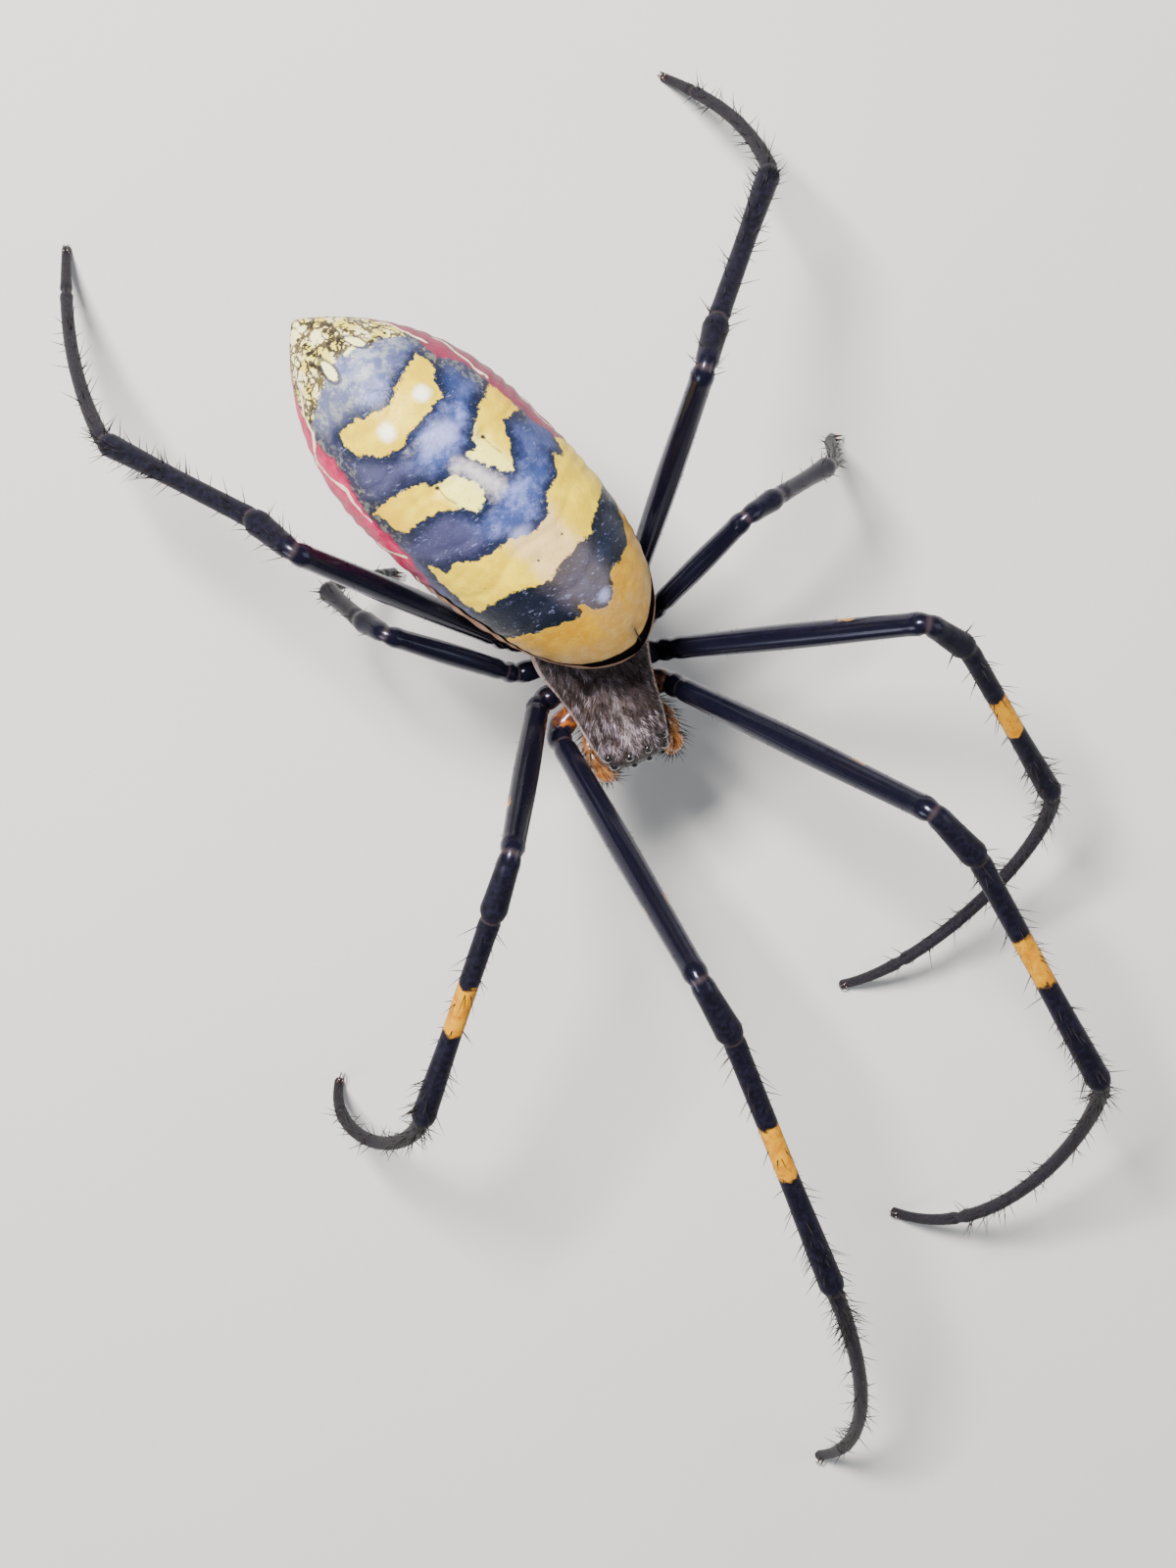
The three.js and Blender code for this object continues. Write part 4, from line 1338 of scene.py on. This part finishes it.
def leg_material(colours):
    s = Shader("leg_shell")
    wobble = s.math("MULTIPLY", s.math("SUBTRACT", s.noise(2.6, 4), 0.5), 0.7)
    band = s.fade(s.math("ADD", s.value("band"), wobble), -0.08, 0.1)
    patch = s.fade(s.math("ADD", s.value("patch"), wobble), 0.0, 0.2)
    patch = s.math("MULTIPLY", patch, s.fade(s.math("ADD", s.value("under"), wobble), -0.5, -0.15))
    patch = s.math("MULTIPLY", patch, s.fade(s.noise(4.5, 3), 0.36, 0.46))
    mottle = s.noise(5, 4)
    ground = s.mix(s.fade(mottle, 0.35, 0.75), tuple(colours.black), (0.01, 0.009, 0.02))
    grey = s.mix(s.fade(s.noise(9, 3), 0.35, 0.7), tuple(colours.grey), (0.024, 0.020, 0.022))
    ground = s.mix(s.math("MULTIPLY", s.value("silver"), 0.85), ground, grey)
    gold = s.mix(s.fade(s.noise(3, 3), 0.35, 0.7), tuple(colours.band), (0.42, 0.15, 0.004))
    # Painted sheen: the upper side of the coxae and femora is tinted blue-violet, standing in for the broad
    # reflection of the sky
    top = s.math("ADD", s.value("under"), s.math("MULTIPLY", wobble, 0.5))
    top = s.math("MULTIPLY", s.fade(top, -0.5, -0.95), s.fade(s.value("matt"), 0.5, 0.1))
    ground = s.mix(s.math("MULTIPLY", top, 0.8), ground, (0.0035, 0.0035, 0.0085))
    colour = s.mix(band, ground, gold)
    colour = s.mix(s.math("MULTIPLY", patch, 0.85), colour, gold)
    warm = s.fade(s.math("ADD", s.value("warm"), wobble), 0.35, 0.8)
    hip = s.mix(s.fade(mottle, 0.4, 0.6), tuple(colours.orange), (0.09, 0.03, 0.015))
    colour = s.mix(warm, colour, hip)
    colour = s.mix(s.math("MULTIPLY", s.fade(s.value("joint"), 0.55, 1.0), 0.6), colour,
                   (0.05, 0.035, 0.035))
    pits = s.math("ADD", s.math("MULTIPLY", s.cells(9), 0.4), s.math("MULTIPLY", s.noise(24, 3), 0.6))
    s.bump(pits, 0.009, 0.45)
    matt = s.value("matt")
    rough = s.math("MULTIPLY_ADD", s.noise(10, 3), 0.14, 0.15)
    rough = s.math("MULTIPLY_ADD", matt, 0.25, rough)
    calm = s.math("MULTIPLY_ADD", s.fade(s.value("steep"), 0.75, 0.3), 0.85, 0.15)
    gloss = s.math("MULTIPLY", s.math("MULTIPLY_ADD", matt, -0.3, 0.5), calm)
    s.put(gloss, s.surface.inputs["Specular IOR Level"])
    coat = s.math("MULTIPLY", s.math("MULTIPLY_ADD", matt, -0.3, 0.3), calm)
    s.put(coat, s.surface.inputs["Coat Weight"])
    return s.finish(colour, rough, IOR=1.3, Specular_Tint=(0.72, 0.73, 1.0), Coat_IOR=1.36,
                    Coat_Roughness=0.08, Coat_Tint=(0.8, 0.8, 1.0))


def carapace_material(colours):
    s = Shader("carapace_shell")
    spots = s.fade(s.noise(2.8, 4, 0.7), 0.5, 0.6)
    middle = s.fade(s.math("ABSOLUTE", s.value("left")), 0.34, 0.05)
    ground = s.mix(s.fade(s.noise(11, 4), 0.35, 0.7), tuple(colours.shell), (0.095, 0.062, 0.056))
    colour = s.mix(s.math("MULTIPLY", spots, 0.75), ground, (0.014, 0.010, 0.012))
    colour = s.mix(s.math("MULTIPLY", middle, 0.3), colour, (0.25, 0.21, 0.19))
    colour = s.mix(s.fade(s.value("rim"), 0.35, 0.75), colour, (0.50, 0.34, 0.31))
    front = s.fade(s.math("ADD", s.value("ahead"), s.math("MULTIPLY", s.noise(4), 0.3)), 2.95, 3.2)
    colour = s.mix(front, colour, (0.03, 0.02, 0.018))
    colour = s.mix(s.fade(s.value("eyes"), 0.3, 0.75), colour, (0.008, 0.006, 0.007))
    s.bump(s.math("ADD", s.noise(14, 5), s.noise(40, 2)), 0.05, 0.7)
    return s.finish(colour, s.math("ADD", 0.36, s.math("MULTIPLY", s.noise(9), 0.25)))


def abdomen_material(colours):
    s = Shader("abdomen_pattern")
    big = s.math("SUBTRACT", s.noise(1.3, 4, 0.6), 0.5)
    fine = s.math("SUBTRACT", s.noise(5, 4, 0.65), 0.5)
    ragged = s.math("ADD", s.math("MULTIPLY", big, 0.36), s.math("MULTIPLY", fine, 0.42))
    along = s.value("along")
    middle = s.value("middle")
    front = s.math("ADD", s.value("front"), ragged)
    band = s.math("ADD", s.value("band"), ragged)
    yellow = s.math("MAXIMUM", s.fade(front, -0.03, 0.04), s.fade(band, -0.03, 0.04))
    spots = s.fade(s.math("ADD", s.value("spots"), s.math("MULTIPLY", fine, 0.8)), -0.05, 0.15)

    near = s.math("MAXIMUM", front, band)
    edge = s.fade(s.math("ADD", near, s.math("MULTIPLY", big, 0.5)), -0.05, -0.62)
    blue = s.mix(s.fade(s.noise(1.5, 5, 0.65), 0.38, 0.68), tuple(colours.blue), (0.17, 0.20, 0.48))
    side = s.fade(s.math("ADD", middle, big), 0.9, 2.0)
    blue = s.mix(s.math("MULTIPLY", side, 0.75), blue, (0.022, 0.036, 0.12))
    plum = s.fade(s.math("ADD", s.value("aside"), big), -0.5, -1.6)
    blue = s.mix(s.math("MULTIPLY", plum, 0.8), blue, (0.045, 0.04, 0.085))
    ground = s.mix(s.math("MULTIPLY_ADD", edge, 0.88, 0.06), tuple(colours.dark), blue)
    first = s.fade(along, 0.36, 0.3)
    outer = s.fade(s.math("ADD", middle, big), 0.4, 1.5)
    slate = s.mix(outer, (0.062, 0.050, 0.050), (0.003, 0.005, 0.009))
    ground = s.mix(s.math("MULTIPLY", first, 0.9), ground, slate)
    pale = s.fade(s.math("ADD", s.value("pale"), big), 0.05, 0.9)
    ground = s.mix(s.math("MULTIPLY", pale, 0.6), ground, (0.32, 0.34, 0.58))
    streaks = s.fade(s.noise(3.2, 5, 0.75, stretch=(1, 2.8, 1)), 0.58, 0.66)
    ground = s.mix(s.math("MULTIPLY", streaks, 0.3), ground, (0.34, 0.37, 0.62))
    flecks = s.fade(s.noise(9, 3, 0.6, stretch=(1, 1.8, 1)), 0.66, 0.72)
    ground = s.mix(s.math("MULTIPLY", flecks, 0.1), ground, (0.42, 0.42, 0.56))
    rear = s.fade(along, 0.79, 0.84)
    mossy = s.mix(s.fade(s.noise(3, 5, 0.7), 0.45, 0.6), (0.13, 0.14, 0.24), (0.34, 0.37, 0.30))
    ground = s.mix(s.math("MULTIPLY", rear, 0.6), ground, mossy)
    lower = s.math("MULTIPLY", s.fade(s.value("red"), -1.0, -0.1), s.fade(along, 0.5, 0.58))
    dusk = s.mix(s.fade(s.noise(4.5, 5, 0.7), 0.5, 0.58), (0.025, 0.022, 0.035), (0.16, 0.17, 0.12))
    ground = s.mix(s.math("MULTIPLY", lower, 0.75), ground, dusk)

    lemon = s.mix(s.fade(s.noise(1.8, 5), 0.36, 0.68), tuple(colours.yellow), (0.74, 0.54, 0.012))
    beige = s.mix(s.fade(s.noise(2.2, 4), 0.36, 0.7), (0.31, 0.17, 0.032), (0.37, 0.22, 0.06))
    gold = s.mix(s.fade(s.noise(1.8, 4), 0.36, 0.7), (0.34, 0.165, 0.006), tuple(colours.cream))
    blond = s.mix(s.noise(2.2, 4), (0.58, 0.39, 0.14), (0.68, 0.48, 0.22))
    second = s.mix(s.fade(s.math("ADD", middle, big), 0.55, 1.25), blond, lemon)
    head_end = s.fade(s.math("ADD", s.value("front"), s.math("MULTIPLY", big, 1.6)), 1.5, 0.5)
    head_end = s.math("MULTIPLY", head_end, s.fade(s.math("ADD", middle, big), 0.35, 0.9))
    front_colour = s.mix(head_end, beige, gold)
    field = s.mix(s.fade(along, 0.5, 0.46), lemon, second)
    field = s.mix(s.fade(front, -0.03, 0.04), field, front_colour)
    third = s.math("MULTIPLY", s.fade(along, 0.47, 0.5), s.fade(along, 0.68, 0.65))
    field = s.mix(s.math("MULTIPLY", third, s.fade(middle, 1.35, 0.9)), field, (0.86, 0.77, 0.18))
    golden_lobe = s.math("MULTIPLY", third, s.fade(middle, 2.2, 2.9))
    field = s.mix(s.math("MULTIPLY", golden_lobe, 0.75), field, (0.72, 0.42, 0.006))
    # Painted highlight: near-white glare painted on the fourth yellow band
    painted_glare = s.fade(s.math("ADD", s.value("painted_highlight"), s.math("MULTIPLY", big, 0.6)), 0.1, 0.75)
    field = s.mix(painted_glare, field, (0.93, 0.91, 0.74))
    pores = s.fade(s.cells(1.7), 0.07, 0.035)
    pores = s.math("MULTIPLY", pores, s.fade(s.noise(1.1, 2), 0.5, 0.56))
    field = s.mix(s.math("MULTIPLY", pores, 0.75), field, (0.10, 0.05, 0.02))
    shade = s.math("MULTIPLY", s.fade(s.noise(7, 3), 0.52, 0.78), 0.35)
    field = s.mix(shade, field, (0.52, 0.30, 0.06))
    colour = s.mix(yellow, ground, field)
    heart = s.fade(s.math("ADD", s.value("heart"), s.math("MULTIPLY", ragged, 1.6)), -0.22, 0.3)
    colour = s.mix(s.math("MULTIPLY", heart, 0.7), colour, (0.62, 0.56, 0.56))

    twist = s.noise(2.3, 4, 0.6)
    worms = s.math("MULTIPLY", s.fade(twist, 0.44, 0.475), s.fade(twist, 0.56, 0.525))
    worms = s.math("MAXIMUM", worms, s.fade(s.wavy_cells(1.5, 0.5), 0.085, 0.035))
    worms = s.math("MULTIPLY", worms, s.fade(s.noise(1.7, 2), 0.34, 0.42))
    tail = s.fade(s.math("ADD", s.value("tail"), s.math("MULTIPLY", ragged, 2.2)), -0.06, 0.1)
    cream = s.mix(s.fade(s.noise(2.0, 4), 0.42, 0.58), (0.66, 0.54, 0.08), (0.80, 0.72, 0.40))
    brown = s.mix(s.fade(s.noise(2.0, 3), 0.4, 0.6), (0.02, 0.016, 0.014), (0.09, 0.07, 0.03))
    colour = s.mix(tail, colour, s.mix(worms, cream, brown))
    ring = s.fade(s.math("ADD", s.value("spots"), s.math("MULTIPLY", fine, 0.8)), -0.5, -0.25)
    colour = s.mix(s.math("MULTIPLY", ring, 0.8), colour, (0.04, 0.04, 0.05))
    colour = s.mix(spots, colour, (0.84, 0.80, 0.36))

    red_reach = s.math("ADD", s.value("red"), s.math("MULTIPLY", ragged, 1.2))
    red_zone = s.fade(red_reach, -0.06, 0.12)
    red = s.mix(s.fade(s.noise(2.4, 4), 0.36, 0.66), tuple(colours.red), (0.34, 0.010, 0.055))
    maroon = s.math("MAXIMUM", s.fade(along, 0.54, 0.46), s.fade(red_reach, 0.25, 0.02))
    maroon = s.math("MAXIMUM", maroon, s.fade(s.value("aside"), 0.0, 0.5))
    red = s.mix(s.math("MULTIPLY", maroon, 0.75), red, (0.11, 0.014, 0.038))
    red_zone = s.math("MULTIPLY", red_zone, s.fade(s.value("front"), 0.2, -0.1))
    colour = s.mix(red_zone, colour, red)
    wander = s.math("MULTIPLY", s.math("SUBTRACT", s.noise(1.6, 4, 0.65), 0.5), 0.32)
    lines = s.fade(s.math("ADD", s.value("lines"), wander), 0.1, 0.04)
    lines = s.math("MULTIPLY", lines, s.fade(s.noise(2.3, 2), 0.3, 0.4))
    colour = s.mix(lines, colour, (0.82, 0.70, 0.50))

    low = s.math("MULTIPLY", s.value("height"), -1.0)
    under = s.fade(s.math("ADD", low, big), 0.85, 1.05)
    ripple = s.math("ADD", along, s.math("MULTIPLY", big, 0.06))
    bars = s.math("SUBTRACT", s.math("FRACT", s.math("MULTIPLY", ripple, 7)), 0.5)
    bars = s.math("ABSOLUTE", bars)
    bars = s.math("MULTIPLY", s.fade(bars, 0.15, 0.08), s.fade(s.noise(1.4, 2), 0.36, 0.44))
    belly = s.mix(s.math("MULTIPLY", bars, 0.85), (0.022, 0.017, 0.016), (0.52, 0.37, 0.08))
    colour = s.mix(under, colour, belly)
    tail_ring = s.math("MULTIPLY", s.fade(along, 0.76, 0.8), s.fade(along, 0.96, 0.92))
    tail_ring = s.math("MULTIPLY", tail_ring, s.fade(s.value("around"), 0.72, 0.84))
    colour = s.mix(tail_ring, colour, (0.42, 0.025, 0.02))

    margin = s.math("ADD", s.value("margin"), s.math("MULTIPLY", ragged, 0.12))
    front_end = s.fade(along, 0.46, 0.4)
    lower_front = s.math("MULTIPLY", s.fade(margin, 0.03, -0.02), front_end)
    rim_colour = s.mix(s.noise(4, 3), (0.26, 0.15, 0.09), (0.34, 0.21, 0.16))
    lower_colour = s.mix(s.fade(margin, -1.0, -1.3), rim_colour, (0.035, 0.022, 0.020))
    line_edge = s.math("MULTIPLY_ADD", s.fade(along, 0.09, 0.05), 0.3, margin)
    lower_colour = s.mix(s.fade(line_edge, -0.26, -0.2), lower_colour, (0.004, 0.003, 0.003))
    colour = s.mix(lower_front, colour, lower_colour)
    dark_marks = s.fade(s.math("ADD", s.value("nicks"), s.math("MULTIPLY", fine, 0.5)), 0.0, 0.35)
    dark_marks = s.math("MAXIMUM", dark_marks, s.fade(s.value("dents"), 0.4, 0.75))
    fold_marks = s.math("MULTIPLY", s.fade(s.value("folds"), 0.05, 0.02), 0.55)
    dark_marks = s.math("MAXIMUM", dark_marks, fold_marks)
    colour = s.mix(dark_marks, colour, (0.03, 0.022, 0.018))

    relief = s.math("MULTIPLY", s.noise(2.6, 5, 0.62), 0.6)
    relief = s.math("ADD", relief, s.math("MULTIPLY", s.cells(11), 0.14))
    relief = s.math("ADD", relief, s.math("MULTIPLY", yellow, 0.1))
    s.bump(relief, 0.09, 0.5)
    rough = s.math("ADD", 0.3, s.math("MULTIPLY", s.noise(4, 4), 0.22))
    s.put(s.math("MULTIPLY_ADD", lower_front, -0.5, 0.5), s.surface.inputs["Specular IOR Level"])
    return s.finish(colour, rough, IOR=1.3)


def shell_material():
    s = Shader("dark_shell")
    colour = s.mix(s.fade(s.noise(4, 4), 0.4, 0.7), (0.012, 0.01, 0.012), (0.06, 0.035, 0.025))
    s.bump(s.math("ADD", s.noise(18, 4), s.cells(8)), 0.04, 0.5)
    return s.finish(colour, s.math("ADD", 0.25, s.math("MULTIPLY", s.noise(9), 0.2)),
                    Coat_Weight=0.3, Coat_Roughness=0.2)


def membrane_material():
    s = Shader("joint_membrane")
    colour = s.mix(s.fade(s.noise(5, 4), 0.35, 0.7), (0.05, 0.035, 0.03), (0.16, 0.11, 0.08))
    s.bump(s.noise(16, 4), 0.06, 0.7)
    return s.finish(colour, s.math("ADD", 0.45, s.math("MULTIPLY", s.noise(9), 0.2)))


def feeler_material(colours):
    s = Shader("feeler_shell")
    colour = s.mix(s.fade(s.noise(3.5, 4), 0.35, 0.7), tuple(colours.orange), (0.46, 0.17, 0.02))
    tip = s.fade(s.math("ADD", s.value("tip"), s.math("MULTIPLY", s.noise(3), 0.1)), 0.84, 0.92)
    colour = s.mix(s.fade(s.value("tip"), 0.66, 0.5), colour, (0.16, 0.06, 0.012))
    colour = s.mix(tip, colour, (0.03, 0.02, 0.02))
    s.bump(s.noise(16, 4), 0.04, 0.5)
    return s.finish(colour, s.math("ADD", 0.25, s.math("MULTIPLY", s.noise(9), 0.2)),
                    Coat_Weight=0.3, Coat_Roughness=0.2, Subsurface_Weight=0.1,
                    Subsurface_Scale=0.0004)


def fang_material():
    s = Shader("fang_gloss")
    colour = s.mix(s.fade(s.noise(5), 0.4, 0.7), (0.012, 0.006, 0.005), (0.07, 0.02, 0.012))
    s.bump(s.noise(20, 3), 0.01, 0.4)
    return s.finish(colour, s.math("ADD", 0.1, s.math("MULTIPLY", s.noise(9), 0.1)), Coat_Weight=0.5,
                    Coat_Roughness=0.08)


def eye_material():
    s = Shader("eye_lens")
    colour = s.mix(s.fade(s.noise(3), 0.4, 0.7), (0.004, 0.003, 0.004), (0.02, 0.012, 0.012))
    return s.finish(colour, s.math("ADD", 0.03, s.math("MULTIPLY", s.noise(6), 0.03)),
                    Coat_Weight=1.0, Coat_Roughness=0.02, IOR=1.6)


def eye_ring_material():
    s = Shader("eye_ring")
    colour = s.mix(s.fade(s.noise(8), 0.4, 0.7), (0.010, 0.007, 0.006), (0.045, 0.024, 0.014))
    s.bump(s.noise(26, 3), 0.03, 0.6)
    return s.finish(colour, s.math("ADD", 0.35, s.math("MULTIPLY", s.noise(9), 0.2)))


def bristle_material():
    s = Shader("bristle")
    colour = s.mix(s.value("tint"), (0.004, 0.003, 0.004), (0.02, 0.014, 0.013))
    rough = s.math("ADD", 0.45, s.math("MULTIPLY", s.noise(9), 0.1))
    return s.finish(colour, rough, Specular_IOR_Level=0.25)


def down_material(name, dark, light):
    s = Shader(name)
    colour = s.mix(s.value("tint"), dark, light)
    rough = s.math("ADD", 0.42, s.math("MULTIPLY", s.noise(9), 0.1))
    return s.finish(colour, rough, Specular_IOR_Level=0.4)


def floor_material():
    s = Shader("studio_floor")
    colour = s.mix(s.noise(0.05, 2), (0.50, 0.49, 0.475), (0.53, 0.52, 0.505))
    return s.finish(colour, 0.7)


class WEAVER_OT_stage(bpy.types.Operator):
    """Pale floor, soft lights and the camera"""
    bl_idname = "weaver.stage"
    bl_label = "Stage"

    def execute(self, context):
        deselect()
        bpy.ops.mesh.primitive_plane_add(size=FLOOR_SIZE)
        floor = context.object
        floor.name = "studio_floor"
        floor.data.materials.append(floor_material())

        lights = (
            ("key", (-20, 80, 160), 36, 1.12, (1.0, 0.97, 0.93)),
            ("fill", (150, -70, 110), 120, 0.14, (0.88, 0.93, 1.0)),
            ("side", (-160, -40, 90), 80, 0.16, (0.92, 0.95, 1.0)),
        )
        for name, place, size, power, colour in lights:
            deselect()
            where = Vector(to_frame(place))
            bpy.ops.object.light_add(type="AREA", location=where)
            light = context.object
            light.name = f"{name}_light"
            light.data.size = size * MM
            light.data.energy = power
            light.data.color = colour
            aim = Vector(to_frame(CAMERA_TARGET)) - where
            light.rotation_euler = aim.to_track_quat("-Z", "Y").to_euler()
        world = bpy.data.worlds.new("studio")
        world.use_nodes = True
        background = world.node_tree.nodes["Background"]
        background.inputs["Color"].default_value = (0.85, 0.9, 1, 1)
        background.inputs["Strength"].default_value = WORLD_STRENGTH
        context.scene.world = world

        place, turn = camera_pose()
        bpy.ops.object.camera_add(location=Vector(to_frame(place)))
        camera = context.object
        camera.name = "photo_camera"
        camera.rotation_euler = turn.to_euler()
        camera.data.sensor_width = SENSOR
        camera.data.lens = FOCAL_PIXELS / PHOTO_HEIGHT * SENSOR
        camera.data.clip_start = MM
        camera.data.clip_end = 10
        context.scene.camera = camera
        return {"FINISHED"}


OPERATORS = (
    WEAVER_OT_legs,
    WEAVER_OT_carapace,
    WEAVER_OT_eyes,
    WEAVER_OT_underside,
    WEAVER_OT_mouthparts,
    WEAVER_OT_abdomen,
    WEAVER_OT_spinnerets,
    WEAVER_OT_bristles,
    WEAVER_OT_down,
    WEAVER_OT_claws,
    WEAVER_OT_stage,
)


class WEAVER_PT_panel(bpy.types.Panel):
    """The weaver's pieces, sizes and colours"""
    bl_label = "Orb weaver"
    bl_idname = "WEAVER_PT_panel"
    bl_space_type = "VIEW_3D"
    bl_region_type = "UI"
    bl_category = "Weaver"

    def draw(self, context):
        for operator in OPERATORS:
            self.layout.operator(operator.bl_idname)
        for group in (context.scene.weaver_sizes, context.scene.weaver_colours):
            for name in group.__annotations__:
                self.layout.prop(group, name)


CLASSES = (WeaverSizes, WeaverColours, *OPERATORS, WEAVER_PT_panel)


def register():
    for cls in CLASSES:
        bpy.utils.register_class(cls)
    bpy.types.Scene.weaver_sizes = PointerProperty(type=WeaverSizes)
    bpy.types.Scene.weaver_colours = PointerProperty(type=WeaverColours)


def unregister():
    del bpy.types.Scene.weaver_colours
    del bpy.types.Scene.weaver_sizes
    for cls in reversed(CLASSES):
        bpy.utils.unregister_class(cls)


def main():
    register()
    for operator in OPERATORS:
        group, name = operator.bl_idname.split(".")
        getattr(getattr(bpy.ops, group), name)()


if __name__ == "__main__":
    main()
